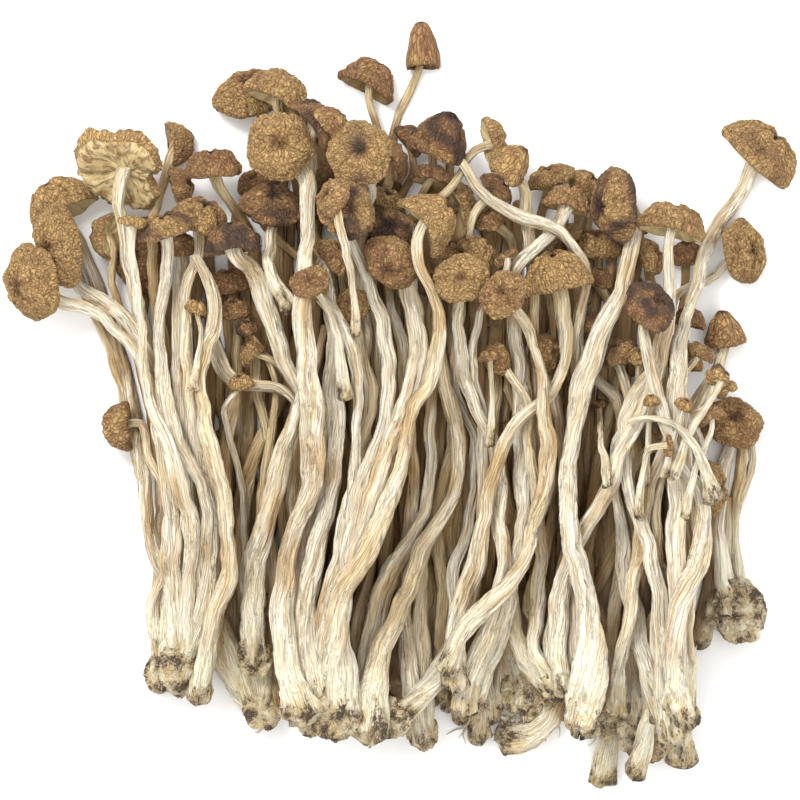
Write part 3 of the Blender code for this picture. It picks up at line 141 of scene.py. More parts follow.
# The pile, bottom first: each piece's name, the middle and the half-width of the foot that its stems
# share or None, and its mushrooms. One mushroom: cap form, cap middle x, y and half-width, the way the
# cap faces (turn in the picture plane from +X, then tilt up towards the viewer), the stem's half-widths
# under the cap and at the foot, and the points its stem passes from the cap to the foot. All in mm and
# degrees.
PILE = [
    ("tuft_under_middle", (1.5, -70.0, 4.4), [
        (None, -3, 10, 0, 0, 0, 1.4, 2.2, [(-3.5, -10), (-3, -30), (-3.5, -50), (0, -69)]),
        (None, 4, 14, 0, 0, 0, 1.4, 2.2, [(4.5, -6), (5, -28), (4, -48), (1.5, -69)]),
        (None, 13, 2, 0, 0, 0, 1.4, 2.2, [(12.5, -16), (13, -36), (10.5, -54), (3, -69)]),
    ]),
    ("tuft_under_clump", (31.0, -71.5, 6.0), [
        (None, 22, 0, 0, 0, 0, 1.6, 2.6, [(21.5, -20), (22, -40), (26, -56), (30, -70)]),
        (None, 36, 0, 0, 0, 0, 1.6, 2.4, [(36.5, -20), (36, -40), (33, -56), (31, -70)]),
    ]),
    ("tuft_under_right", (46.8, -70.0, 3.6), [
        ("round", 49.5, 41, 6.0, 95, 30, 1.6, 2.1,
         [(49, 32), (47.5, 14), (46.5, -8), (47.5, -30), (47, -50), (46.5, -69)]),
        ("button", 50, 32, 3.8, 80, 10, 1.2, 1.8, [(50, 24), (51, 8), (50.5, -12), (48.5, -34), (47, -69)]),
        ("button", 57.5, 31, 3.2, 95, 20, 1.1, 1.7,
         [(56.5, 22), (55, 6), (53.5, -12), (51, -34), (48, -54), (46.5, -69)]),
    ]),
    ("mushroom_lying_foot", None, [
        (None, 41, -50, 0, 0, 0, 2.2, 2.6, [(42, -62), (39, -73), (33, -79.5), (26.5, -83.8)]),
    ]),
    ("tuft_low_left", (-59.5, -67.0, 4.6), [
        ("round", -66.5, 37, 9.2, 180, 50, 1.5, 2.0,
         [(-65, 22), (-61.5, 6), (-58, -14), (-56.5, -34), (-57, -52), (-59, -67)]),
        ("button", -74.5, 42.6, 5.6, 165, -40, 1.3, 1.8,
         [(-72, 32), (-67, 18), (-62, 0), (-59.5, -20), (-59.5, -40), (-60, -64)]),
        ("umbrella", -54.7, 65.4, 5.6, 8, -12, 1.5, 2.0,
         [(-57, 59.5), (-61, 51), (-62.5, 36), (-60, 16), (-56, -6), (-54.5, -28), (-56, -50), (-60, -67)]),
    ]),
    ("tuft_behind_left", (-40.2, -62.5, 4.4), [
        ("round", -54, 55.2, 4.5, 20, 30, 1.5, 2.0,
         [(-52, 44), (-48, 30), (-46, 12), (-44, -8), (-43, -28), (-42, -46), (-40.5, -63)]),
        ("round", -47.2, 60.8, 7.0, 96, 8, 1.6, 2.1,
         [(-45, 54), (-40, 47.5), (-36, 36), (-35.5, 20), (-37, 2), (-38.5, -18), (-38.5, -40),
          (-40, -61)]),
    ]),
    ("tuft_dark_foot", (-34.2, -76.0, 5.0), [
        ("round", -38.2, 79.4, 8.6, 97, 40, 1.8, 2.4,
         [(-33, 71), (-30, 58), (-30.5, 38), (-33, 16), (-36, -8), (-38, -30), (-37.5, -54), (-35, -76)]),
        ("umbrella", -29.7, 79.2, 7.9, 60, -14, 1.7, 2.2,
         [(-27.5, 70), (-26.5, 54), (-28, 32), (-31, 8), (-34.5, -18), (-35, -46), (-32.5, -75)]),
        ("button", -44, -8, 3.4, 85, 35, 1.1, 1.8, [(-43.5, -16), (-43, -32), (-42, -50), (-37, -74)]),
        ("round", -43, 31.5, 5.5, 100, 30, 1.4, 2.4,
         [(-44.5, 22), (-44.5, 6), (-43, -14), (-42, -36), (-43, -54), (-40, -66), (-35, -77)]),
    ]),
    ("mushroom_back_a", None, [
        ("round", -16.5, 54.5, 9.5, 165, 50, 2.0, 2.6,
         [(-14, 44), (-12.5, 28), (-13, 8), (-14.5, -10), (-15.5, -30), (-16, -46)]),
    ]),
    ("mushroom_back_c", None, [
        ("bell", 5.6, 89.5, 4.2, 92, -10, 0.9, 1.9,
         [(3.6, 83.5), (1.2, 77), (-1.8, 69), (-0.5, 52), (4, 28), (8, 4), (8.5, -24), (9, -50),
          (9.5, -74)]),
    ]),
    ("tuft_gap_caps", (-31.2, -50.0, 3.4), [
        ("button", -41.8, 24.5, 3.7, 95, 40, 1.1, 1.7,
         [(-40, 17), (-37, 2), (-34.5, -18), (-33, -34), (-31.5, -49)]),
        ("button", -38.5, 19.7, 2.8, 95, 40, 1.0, 1.6, [(-37, 12), (-34, -2), (-31.5, -22), (-31, -48)]),
        ("folded", -38, 13.7, 3.5, 130, 20, 1.0, 1.7,
         [(-34.5, 9.5), (-30, 2), (-27.5, -14), (-28.5, -34), (-31, -50)]),
        ("round", -36.5, 56.5, 4.6, 115, 50, 1.4, 1.9,
         [(-32, 46), (-26.5, 34), (-26, 16), (-27.5, -6), (-28.5, -28), (-30, -48)]),
    ]),
    ("tuft_back_right", (38.3, -70.0, 3.9), [
        ("button", 47, 55.5, 4.6, 35, 20, 1.2, 1.8,
         [(44.5, 48), (42, 32), (39, 14), (34, -8), (31.5, -30), (34, -50), (38, -69)]),
        ("flat", 37.5, 58.0, 5.6, 108, 24, 1.4, 1.9,
         [(36, 50), (34, 38), (32, 18), (30, -6), (29, -28), (33, -50), (38.5, -70)]),
    ]),
    ("tuft_top_g", (39.8, -69.8, 3.6), [
        ("round", 41, 42.5, 4.4, 130, -25, 1.3, 1.9,
         [(42, 36), (43.5, 20), (42.5, 0), (40, -22), (37, -44), (39, -60), (40, -70)]),
        ("round", 36.5, 40.3, 3.4, 140, -20, 1.1, 1.8,
         [(35, 33), (34.5, 16), (34.5, -6), (35.5, -28), (36, -50), (39.5, -69)]),
    ]),
    ("tuft_top_f", (18.2, -73.5, 3.8), [
        ("round", 15.2, 49.7, 8.3, 20, -38, 1.6, 2.0,
         [(16.5, 55), (20, 48), (24, 36), (26, 18), (25.5, -4), (26.5, -26), (25, -46), (20, -62),
          (17.5, -74)]),
        ("button", 22, 47, 3.7, 110, 50, 1.1, 1.7,
         [(25, 41), (27.5, 28), (28, 8), (28.5, -16), (28, -38), (23, -58), (19, -73)]),
        ("round", 25, 54.2, 4.8, 35, 10, 1.3, 1.8,
         [(22, 48), (20, 34), (18, 14), (17.5, -8), (18.5, -30), (20, -50), (18.5, -73)]),
        (None, 19, -66, 0, 0, 0, 2.0, 1.8, [(19.5, -74), (19.8, -83.5)]),
    ]),
    ("tuft_top_c", (5.7, -82.5, 3.8), [
        ("button", 3.2, 67, 4.4, 38, -6, 1.2, 1.8,
         [(3, 60), (1.5, 48), (4.5, 28), (6, 6), (6.5, -18), (6.5, -44), (5.5, -66), (5.5, -83)]),
        ("round", 8, 58, 4.8, 80, -20, 1.3, 1.8,
         [(7.5, 51), (9, 36), (11, 14), (10.5, -12), (8, -38), (7, -62), (6, -83)]),
    ]),
    ("mushroom_back_right", None, [
        ("round", 58, 46, 5.0, 90, -20, 1.4, 2.2,
         [(57.5, 38), (55, 22), (52, 2), (49.5, -20), (50.5, -44), (50, -66), (49.5, -82), (51, -94.5)]),
    ]),
    ("tuft_back_pair", (52.6, -76.5, 3.8), [
        ("button", 72, 38.5, 4.4, 90, 30, 1.3, 1.9,
         [(71, 30), (69, 14), (64, -6), (57.5, -26), (55, -48), (53.5, -66), (53, -77)]),
        ("round", 63.5, 37.6, 4.7, 30, 35, 1.2, 1.8,
         [(62.5, 28), (60, 10), (56, -12), (53, -36), (52.5, -60), (52, -76)]),
    ]),
    ("mushroom_cut_foot", None, [
        ("flat", 76.5, -2.5, 3.8, 95, -24, 1.2, 2.3,
         [(76.5, -9), (75, -18), (76, -30), (78.5, -40), (77.5, -50), (75.2, -58.5)]),
    ]),
    ("tuft_outlying", (84.4, -51.6, 7.1), [
        ("button", 87.4, -4.0, 2.6, 100, 35, 0.8, 1.5,
         [(88.2, -11), (88.4, -16), (87, -21), (84.8, -26), (83.6, -33), (85, -42), (86.4, -51)]),
        ("round", 84.0, -3.6, 6.9, 80, 62, 1.7, 2.8,
         [(82.5, -14), (80.5, -24), (79.2, -33), (80.6, -42), (83.2, -51)]),
    ]),
    ("tuft_top_b", (-12.8, -55.0, 3.5), [
        ("umbrella", -6.9, 82.4, 7.2, 62, -14, 1.3, 2.1,
         [(-5.0, 76), (-4.6, 66), (-6, 48), (-5, 26), (-2, 2), (-5, -24), (-10, -40), (-12, -54)]),
        ("round", -1.2, 62.3, 5.7, 30, -25, 1.5, 2.1,
         [(-5, 57), (-7.5, 48), (-9.5, 34), (-9, 14), (-9, -8), (-12, -30), (-13.5, -54)]),
    ]),
    ("tuft_top_a", (-20.5, -53.0, 3.5), [
        ("round", -19.8, 71.0, 7.2, 38, -10, 1.7, 2.2,
         [(-21.3, 63), (-21, 48), (-20, 28), (-20.5, 6), (-18.5, -16), (-20.5, -36), (-21, -53)]),
        ("button", -16.2, 71.0, 4.5, 45, 20, 1.2, 1.8,
         [(-17, 64), (-17.5, 46), (-16, 24), (-16.5, 0), (-17, -24), (-20, -52)]),
    ]),
    ("mushroom_top_d", None, [
        ("flat", 24.7, 65.4, 6.5, 10, -16, 1.1, 1.9,
         [(20.5, 66.3), (17, 63.5), (13, 59.5), (6, 53.5), (1, 44), (1, 26), (3, 4), (1, -20), (-1, -46),
          (-5, -70)]),
    ]),
    ("mushroom_top_e", None, [
        ("pointed", 28.2, 60.6, 5.4, 46, 30, 1.3, 1.9,
         [(31, 55.5), (35, 48), (37, 36), (34.5, 20), (31.5, 0), (31, -22), (29.5, -44), (33, -60),
          (38, -71)]),
    ]),
    ("tuft_left", (-55.6, -65.5, 6.6), [
        ("torn", -68.4, 59.6, 12.0, 62, -54, 1.7, 2.2,
         [(-71, 48), (-69.5, 34), (-66, 18), (-61.5, -2), (-58.5, -24), (-57, -46), (-57.5, -66)]),
        ("umbrella", -86.4, 51.4, 9.0, 122, -14, 1.7, 2.1,
         [(-82, 45), (-78, 35), (-72.5, 24), (-68.5, 8), (-65, -6), (-61.5, -22), (-60, -34), (-57.5, -48),
          (-57.5, -65)]),
        ("button", -71.4, -5.6, 5.8, 185, -6, 1.0, 1.4,
         [(-65, -3.5), (-62, -10), (-60.5, -24), (-60, -40), (-61, -52), (-60, -63)]),
        ("flat", -87.2, 39.3, 9.9, 190, 38, 1.6, 2.2,
         [(-80, 31), (-72, 27), (-65.5, 19), (-61, 6), (-58, -12), (-56, -34), (-55.5, -52), (-56, -65)]),
        ("round", -93.9, 30.0, 9.6, 193, 40, 1.5, 2.2,
         [(-86, 27.4), (-78, 26), (-70, 20.5), (-62.5, 10), (-58, -6), (-55.5, -26), (-54.5, -46),
          (-55, -64)]),
        ("round", -50.6, 24.2, 3.3, 75, 25, 1.0, 1.5,
         [(-52.5, 14), (-54.5, 0), (-54.5, -18), (-53.5, -38), (-54, -62)]),
        ("button", -55, 40.5, 4.2, 95, 25, 1.7, 2.1,
         [(-56.5, 30), (-57.5, 14), (-56.5, -4), (-53.5, -24), (-52.5, -44), (-54, -65)]),
        ("round", -49.4, 48.0, 7.2, 70, 26, 1.8, 2.2,
         [(-52, 41), (-54.5, 28), (-55, 10), (-53, -6), (-49.5, -20), (-49.3, -36), (-50.5, -52),
          (-53.5, -66)]),
        ("flat", -59.2, 45.4, 6.6, 105, 20, 1.7, 2.1,
         [(-59.5, 36), (-59.5, 20), (-57, 4), (-53.2, -9), (-49.3, -22), (-49, -38), (-51, -54),
          (-54, -66)]),
        ("torn", -67, 46, 3.4, 85, 10, 1.1, 2.0,
         [(-66.3, 37), (-63.5, 24), (-62, 8), (-58.5, -4), (-53.5, -17), (-51.2, -30), (-51.2, -46),
          (-53.5, -65)]),
    ]),
    ("tuft_right", (59.5, -80.2, 4.6), [
        ("round", 67.5, 15.5, 3.8, 100, -10, 1.2, 1.7,
         [(66, 8), (63.5, -8), (60, -26), (59, -46), (58.5, -66), (59.5, -80)]),
        ("button", 72, 11.8, 4.0, 80, 35, 1.2, 1.7,
         [(70.5, 4), (67, -10), (64, -30), (62, -52), (61, -79)]),
        ("round", 48, 18, 7.0, 75, -40, 1.5, 2.0,
         [(49, 12), (52, 0), (55.5, -16), (57, -34), (58, -56), (59, -81)]),
    ]),
    ("mushroom_right_a", None, [
        ("button", 54, 14, 4.5, 100, 55, 1.4, 2.8,
         [(54, 5), (56, -8), (59, -22), (62.5, -38), (64.5, -56), (67, -74), (70.8, -89)]),
    ]),
    ("mushroom_right_b", None, [
        ("button", 60, 12.5, 3.0, 90, 40, 1.1, 2.3,
         [(60.5, 5), (62.5, -8), (65.5, -24), (66, -42), (62.5, -60), (60.5, -76), (58.5, -92.5)]),
    ]),
    ("tuft_right_c", (66.3, -77.0, 3.4), [
        ("flat", 79.4, -20.8, 6.8, 5, 20, 1.4, 2.0,
         [(74.5, -14.5), (69.5, -5.5), (62.5, -2.5), (58, -8), (57.5, -24), (60, -42), (63, -60),
          (66, -78)]),
        ("folded", 66.5, -9.3, 2.9, 20, -20, 1.1, 1.8,
         [(63, -8.3), (61.3, -16), (63, -30), (65, -48), (66.5, -76)]),
    ]),
    ("tuft_right_d", (71.3, -77.8, 3.6), [
        ("pointed", 81.3, 18.8, 5.2, 97, 26, 1.3, 1.9,
         [(80, 10), (74, 4.5), (70, -6), (69.7, -22), (70, -38), (68.5, -54), (69.5, -68), (71.5, -78)]),
        ("umbrella", 72.7, 22, 4.0, 78, -12, 1.1, 1.8,
         [(70.8, 15), (67.5, 5), (65.5, -8), (66.5, -26), (67, -46), (68, -64), (71, -78)]),
        ("round", 75.5, 13.6, 3.6, 65, 4, 1.1, 1.7,
         [(73.3, 7), (71.5, -2), (71.5, -18), (71.5, -36), (70.5, -56), (71.5, -77)]),
    ]),
    ("mushroom_right_e", None, [
        ("flat", 80.9, 5.8, 4.2, 10, -30, 1.2, 1.9,
         [(75.5, 1), (70.5, -5), (66.5, -16), (62.5, -34), (60, -52), (57, -70), (54.5, -76)]),
    ]),
    ("mushroom_broken_stem", None, [
        (None, -47, 15, 0, 0, 0, 1.8, 2.0,
         [(-40, 9.2), (-31, 1), (-25, -8), (-23.5, -24), (-24, -44), (-23.5, -62), (-23, -76)]),
    ]),
    ("mushroom_mid_a", None, [
        ("umbrella", -41.9, 41.9, 6.8, 95, -6, 2.1, 2.5,
         [(-39.5, 35), (-36, 23.5), (-31.5, 12.5), (-25.5, 0), (-21, -13), (-22.3, -28), (-24.8, -44),
          (-25, -60), (-22.5, -77)]),
    ]),
    ("mushroom_mid_c", None, [
        ("flat", -3.2, 52.3, 4.5, 60, 36, 1.2, 1.9,
         [(-3.5, 44), (-2.5, 30), (-1.2, 14), (0.5, -2), (3.5, -18), (3.5, -36), (2, -52), (4, -68),
          (5.5, -84.5)]),
    ]),
    ("tuft_mid_b", (-13.8, -75.0, 5.0), [
        ("round", -2.6, 44.8, 5.1, 95, 66, 1.3, 2.0,
         [(-4.8, 32), (-4.5, 20), (-2.2, 6), (-2.5, -10), (-5.5, -24), (-8.5, -38), (-10.5, -56),
          (-10, -75)]),
        ("round", -9.9, 63.1, 7.8, 80, 74, 1.8, 2.3,
         [(-8, 52), (-8, 42), (-10.5, 30), (-10.5, 12), (-10.5, -8), (-14, -28), (-17, -48), (-18, -74)]),
    ]),
    ("mushroom_mid_f", None, [
        ("umbrella", 42.1, 51.7, 5.5, 76, -14, 2.0, 2.3,
         [(41, 47), (36, 40.5), (30.5, 34), (30, 22), (32, 6), (32.5, -12), (31.5, -32), (27.5, -52),
          (22.5, -66), (17, -75)]),
    ]),
    ("tuft_mid_i", (39.2, -70.5, 3.6), [
        ("button", 37.4, 12.8, 4.8, 12, 48, 1.3, 1.9,
         [(35.5, 5), (37.5, -6), (38.5, -16), (39.5, -30), (38.5, -46), (35.5, -60), (39.5, -71)]),
        ("button", 23.5, 11, 4.1, 200, 45, 1.2, 1.8,
         [(28.5, 9.5), (31, 3), (30, -12), (32.5, -30), (34, -48), (35, -60), (39, -70)]),
    ]),
    ("mushroom_mid_g", None, [
        ("flat", 12, 38.9, 4.2, 92, 14, 1.4, 2.2,
         [(13, 30), (13.5, 18), (10, 7), (8.2, -6), (7.5, -18), (4.5, -29), (0.5, -40), (-5, -52),
          (-9.5, -64), (-9, -77)]),
    ]),
    ("tuft_mid_h", (-1.6, -78.5, 4.4), [
        ("umbrella", 20.2, 38.4, 5.2, 46, -2, 1.2, 1.9,
         [(17, 30), (12.5, 18), (11.3, 4), (16, -8), (19, -20), (17.5, -32), (13.8, -42), (12.5, -54),
          (7, -67), (-1, -78)]),
        ("torn", 26.5, 37, 3.0, 120, -20, 1.0, 1.6,
         [(24, 29), (21, 14), (22.5, -4), (23, -24), (18, -44), (11, -64), (1, -77)]),
    ]),
    ("mushroom_mid_e", None, [
        ("pointed", 10.6, 67.4, 6.9, 66, 28, 1.4, 1.9,
         [(14.3, 62.5), (20, 55), (29, 48.5), (38, 43), (45, 35), (46, 20), (43.5, 2), (41, -16), (42, -36),
          (43.5, -58), (44.5, -78)]),
    ]),
    ("mushroom_right_f", None, [
        ("flat", 87.8, 38.4, 8.2, 8, 38, 1.4, 2.1,
         [(78.3, 33), (72, 26.5), (64.5, 13), (59.8, -2), (58.7, -18), (62, -34), (65.3, -52), (66.5, -70),
          (67.5, -83)]),
    ]),
    ("mushroom_right_g", None, [
        ("round", 92.3, 64.6, 9.9, 47, 16, 1.8, 2.3,
         [(86.2, 53), (84, 48), (79.5, 42), (71.5, 30), (67.5, 12), (68.5, -8), (68.5, -24), (66.5, -40),
          (67, -58), (69, -76)]),
    ]),
    ("mushroom_front_left", None, [
        (None, -51.0, 36.5, 0, 0, 0, 1.5, 2.4,
         [(-48.3, 31), (-46, 24), (-47.3, 18), (-50, 12), (-50.5, 0), (-46.5, -15), (-44.2, -30),
          (-44, -43), (-48, -57), (-50.5, -73)]),
    ]),
    ("mushroom_front_e", None, [
        ("button", 8, 31, 3.8, 110, 45, 1.4, 2.9,
         [(9, 22), (11, 9), (14, -5), (14.3, -15), (11.5, -26), (5.3, -35), (1.3, -46), (-3.5, -57),
          (-6.4, -68), (-7.5, -82)]),
    ]),
    ("tuft_big_stem", (-36.4, -63.5, 4.4), [
        ("button", -40, 6, 3.0, 100, 35, 0.8, 1.0,
         [(-43.2, 1), (-42.5, -9), (-40.3, -20), (-40, -32), (-38, -40), (-37, -55)]),
        (None, -19.0, 19, 0, 0, 0, 1.2, 2.9,
         [(-21, 10), (-24.2, 4), (-26.5, -4), (-29.5, -16), (-33.5, -30), (-36.8, -45), (-36.3, -64)]),
    ]),
    ("tuft_centre", (-16.5, -77.3, 6.0), [
        ("round", -12.1, 25.6, 4.7, 95, 60, 1.5, 2.0,
         [(-10.8, 18), (-8, 7), (-8, -3), (-11, -14), (-12.5, -30), (-15, -48), (-16.5, -64),
          (-15.5, -77)]),
        ("round", -16.4, 37.9, 5.1, 40, 18, 2.3, 2.5,
         [(-17.3, 28), (-17.3, 17), (-18.2, 5), (-17, -9), (-18.5, -25), (-21.5, -38), (-22.8, -54),
          (-20.5, -76)]),
        ("button", -22.8, 30.8, 4.9, 110, 64, 1.4, 2.3,
         [(-18.5, 25.5), (-14.2, 17.5), (-13.3, 4), (-12.2, -10), (-12.3, -24), (-15.5, -40), (-19.7, -54),
          (-19, -68), (-17, -78)]),
        ("round", -12.7, 48.8, 7.2, 30, 70, 1.4, 2.2,
         [(-10.7, 39), (-8, 29), (-6.3, 15), (-4, 1), (-6, -9), (-10.5, -20), (-13.2, -36), (-15.5, -52),
          (-13.5, -68), (-11.5, -78)]),
        ("round", -2.7, 34.2, 7.4, 240, 52, 1.9, 2.6,
         [(2.5, 26), (3.2, 15), (-0.5, 2), (-4, -12), (-8, -24), (-12, -38), (-16.5, -52), (-17.5, -66),
          (-15.5, -77.5)]),
        ("folded", 9.2, 47.4, 8.2, 35, -4, 1.5, 2.5,
         [(3.4, 40), (5.5, 30), (9, 19), (7, 8), (1.5, -3), (-0.3, -15), (-4.3, -27), (-10, -39),
          (-14.5, -50), (-16.5, -64), (-14.5, -76.5)]),
    ]),
    ("mushroom_short", None, [
        ("round", -32, 51.2, 7.1, 85, 50, 1.9, 1.7, [(-30.6, 42), (-29.6, 34), (-27.9, 24)]),
    ]),
    ("mushroom_front_a", None, [
        ("round", -30.1, 65, 8.2, 90, 78, 2.2, 3.0,
         [(-23.3, 58), (-22.5, 44), (-24.3, 26), (-23.2, 8), (-21.5, -8), (-21.5, -22), (-26.5, -34),
          (-28.3, -50), (-27.5, -66), (-24.5, -77)]),
    ]),
    ("mushroom_front_f", None, [
        ("round", 15.3, 31.8, 6.2, 95, 74, 1.5, 2.2,
         [(15.3, 20), (17, 7), (21, -5), (24, -16), (25.3, -28), (26.3, -40), (23.5, -54), (18.5, -66),
          (16, -76)]),
    ]),
    ("mushroom_front_g", None, [
        ("umbrella", 38.9, 33.8, 8.3, 102, 16, 1.6, 2.2,
         [(40.3, 27), (42.2, 15), (38.5, 4), (30.5, -4), (25, -14), (23, -26), (20, -38), (16, -49),
          (13.2, -60), (13.5, -70)]),
    ]),
    ("mushroom_front_i", None, [
        ("round", 68.4, 46.8, 8.3, 78, -12, 1.8, 2.1,
         [(67.5, 38), (67.3, 24), (63.5, 10), (59.8, -4), (55, -14), (51, -24), (46.5, -31), (42, -42),
          (40.5, -58), (41, -71)]),
    ]),
    ("mushroom_front_h", None, [
        ("round", 52.2, 49.6, 8.8, 187, 38, 1.9, 3.1,
         [(56, 41), (55.8, 29), (51.2, 18), (46, 5), (43.3, -8), (42.3, -22), (43.5, -36), (46, -50),
          (47, -64), (45.2, -80)]),
    ]),
    ("mushroom_front_k", None, [
        ("round", 63.6, 25.3, 6.7, 40, 50, 1.5, 2.5,
         [(63.3, 13), (65.5, 0), (68.5, -13), (75, -24), (74.5, -34), (72.5, -43), (68.7, -53), (67.5, -66),
          (71, -78)]),
    ]),
    ("mushroom_front_j", None, [
        ("round", 25.3, 27.9, 5.8, 130, 66, 1.6, 2.2,
         [(30, 22), (34.5, 11), (36, -3), (37, -15), (34, -28), (29, -42), (22.5, -51), (15, -59),
          (11.5, -66)]),
    ]),
]

# How many pieces lie so low that their stems are hidden
HIDDEN = 22


def cap_axes(turn, tilt):
    """The cap's side, lower-to-upper and crown directions: the crown turns in the plane, then tilts up."""
    turn, tilt = math.radians(turn), math.radians(tilt)
    crown = np.array([math.cos(tilt) * math.cos(turn), math.cos(tilt) * math.sin(turn), math.sin(tilt)])
    side = np.array([math.sin(turn), -math.cos(turn), 0.0])
    return np.stack([side, np.cross(crown, side), crown])


def cap_shape(down, around, form, seed):
    """Points of a cap of half-width 1, its rim at height 0.

    down runs from the crown (0) over the rim (RIM) to the middle of the underside (1), around is an angle.
    The crown is a rounded dome with a dent; the underside rises into a shallow hollow; radial wrinkles swell
    and sink the surface, two sides fold down, the rim waves, curls up or is torn back on one side.
    """
    f = FORMS[form]
    over = np.clip(down / RIM, 0.0, 1.0)
    under = np.clip((down - RIM) / (1.0 - RIM), 0.0, 1.0)
    on_top = down <= RIM
    reach = np.where(on_top, np.sin(over * math.pi / 2) ** 0.85, np.cos(under * math.pi / 2) ** 0.8)
    top = f["crown"] * np.cos(over * math.pi / 2) ** 1.15 - f["dent"] * np.exp(-(over / DENT_WIDTH) ** 2)
    low = f["hollow"] * np.sin(under * math.pi / 2) ** 1.5 - LIP * np.sin(under * math.pi)
    ridges = WRINKLE * np.cos(RIDGES * around) * np.sin(np.clip(reach, 0, 1) * math.pi) ** 0.5
    height = np.where(on_top, top + ridges, low - 0.7 * ridges)
    phase = seed * WAVE_TURN
    wave = WAVE_IN_TWO * np.cos(2 * around + phase) + WAVE_IN_FIVE * np.sin(5 * around + 1.7 * phase)
    reach = reach * (1 + wave)
    tear = np.exp(-((np.angle(np.exp(1j * (around - phase))) / TEAR_WIDTH) ** 2))
    reach = reach * (1 - f["torn"] * tear)
    x, y = reach * np.cos(around), reach * np.sin(around)
    height = height - f["fold"] * x ** 2 * (1.3 - 0.3 * reach) + f["curl"] * reach ** 3
    return np.stack([x * (1 - 0.12 * f["fold"]), y, height], axis=-1)


def neck_drop(mushroom):
    """How far under the plane of its rim, in mm, the stem leaves the cap's axis."""
    half, neck = mushroom[3], mushroom[6]
    return DROP_OF_NECK * neck + DROP_OF_CAP * half


def stem_seat(mushroom):
    """How far over the neck, in mm, the stem ends inside the cap: halfway between hollow and crown."""
    f = FORMS[mushroom[0]]
    pressed = 1.0 - PRESSED * math.sin(math.radians(mushroom[5])) ** 4
    crown = f["crown"] - max(f["dent"], 0.0)
    return neck_drop(mushroom) + 0.5 * mushroom[3] * pressed * (f["hollow"] + crown)


def cap_points(mushroom, down, around, seed):
    """The cap's points in mm about its neck: its shape, sized, pressed flatter and facing the right way."""
    form, _, _, half, turn, tilt = mushroom[:6]
    lying = math.cos(math.radians(tilt)) ** 2
    pressed = np.array([1.0, 1.0 - PRESSED * lying, 1.0 - PRESSED * (1.0 - lying) ** 2])
    shape = half * cap_shape(down, around, form, seed) * pressed + np.array([0.0, 0.0, neck_drop(mushroom)])
    return shape @ cap_axes(turn, tilt)


def along(route):
    """How far along the stem each of its points lies."""
    return np.concatenate([[0], np.cumsum(np.hypot(*np.diff(route, axis=0).T))])


def stem_route(mushroom):
    """The stem's points seen from above, from its neck to its foot, and its half-width at each."""
    form, x, y, half, turn, tilt, neck, foot, bends = mushroom
    start = np.array([x, y], float)
    if form:
        back = CAP_MIDDLE * FORMS[form]["crown"] * half + neck_drop(mushroom)
        start = start - back * cap_axes(turn, tilt)[2][:2]
    clear = [bend for bend in bends if math.dist(bend, start) > NECK_CLEAR]
    route = np.vstack([start, np.array(clear, float)])
    share = along(route) / along(route)[-1]
    width = neck + (foot - neck) * share ** WIDENING
    width[-1] *= FOOT_SWELLS
    return route, width


def across(route, width):
    """Sample spots over the stem's shadow: their place along it, and the spots and thicknesses across it."""
    run = along(route)
    steps = np.linspace(0, run[-1], int(run[-1] / SAMPLE) + 2)
    middle = np.stack([np.interp(steps, run, route[:, k]) for k in range(2)], axis=-1)
    radius = np.interp(steps, run, width)
    ahead = np.diff(route, axis=0)
    piece = np.clip(np.searchsorted(run, steps, side="right") - 1, 0, len(ahead) - 1)
    unit = ahead[piece] / np.linalg.norm(ahead[piece], axis=1, keepdims=True)
    normal = np.stack([-unit[:, 1], unit[:, 0]], axis=-1)
    offset = np.linspace(-1, 1, SAMPLES_ACROSS)
    spots = middle[:, None] + normal[:, None] * (offset[None, :, None] * radius[:, None, None])
    thick = radius[:, None] * np.sqrt(np.clip(1 - offset[None] ** 2, 0, 1))
    return steps, spots, thick


def cell_of(spots):
    """The height map's row and column under each spot."""
    column = np.clip(((spots[..., 0] + FIELD_X) / CELL).astype(int), 1, int(2 * FIELD_X / CELL) - 2)
    row = np.clip(((spots[..., 1] + FIELD_Y) / CELL).astype(int), 1, int(2 * FIELD_Y / CELL) - 2)
    return row, column


def widened(ground):
    """Each cell takes the highest of itself and its eight neighbours."""
    out = ground.copy()
    for rows in (-1, 0, 1):
        for columns in (-1, 0, 1):
            out = np.maximum(out, np.roll(np.roll(ground, rows, axis=0), columns, axis=1))
    return out


def roll_down(route, width, ground, freedom):
    """Let the stem's bends roll sideways, by at most the freedom, to where what lies under them is lowest."""
    rolled = route.copy()
    for _ in range(ROLLS):
        for i in range(1, len(route) - 1):
            ahead = route[i + 1] - route[i - 1]
            aside = np.array([-ahead[1], ahead[0]]) / np.hypot(*ahead)
            low, high = max(i - 1, 0), min(i + 2, len(route))
            best = None
            for step in np.arange(-freedom, freedom + 0.01, freedom / ROLL_TRIALS):
                trial = rolled.copy()
                trial[i] = route[i] + aside * step
                _, spots, thick = across(trial[low:high], width[low:high])
                need = (ground[cell_of(spots)] + thick).max(axis=1)
                cost = need.mean() + HIGH_SPOT_COST * need.max() + ROLLING_COST * (step / freedom) ** 2
                if best is None or cost < best[0] - 1e-6:
                    best = (cost, trial)
            rolled = best[1]
    return rolled


def straightened(route, width, straight, longest):
    """The route without the bends that it runs nearly straight past, where no run gets over the longest."""
    kept = [0]
    for i in range(1, len(route) - 1):
        chord = route[i + 1] - route[kept[-1]]
        length = np.linalg.norm(chord)
        aside = route[i] - route[kept[-1]]
        off = np.linalg.norm(aside - chord * (aside @ chord) / length ** 2)
        if off > straight or len(route) < 5 or length > longest:
            kept.append(i)
    kept.append(len(route) - 1)
    return route[kept], width[kept]


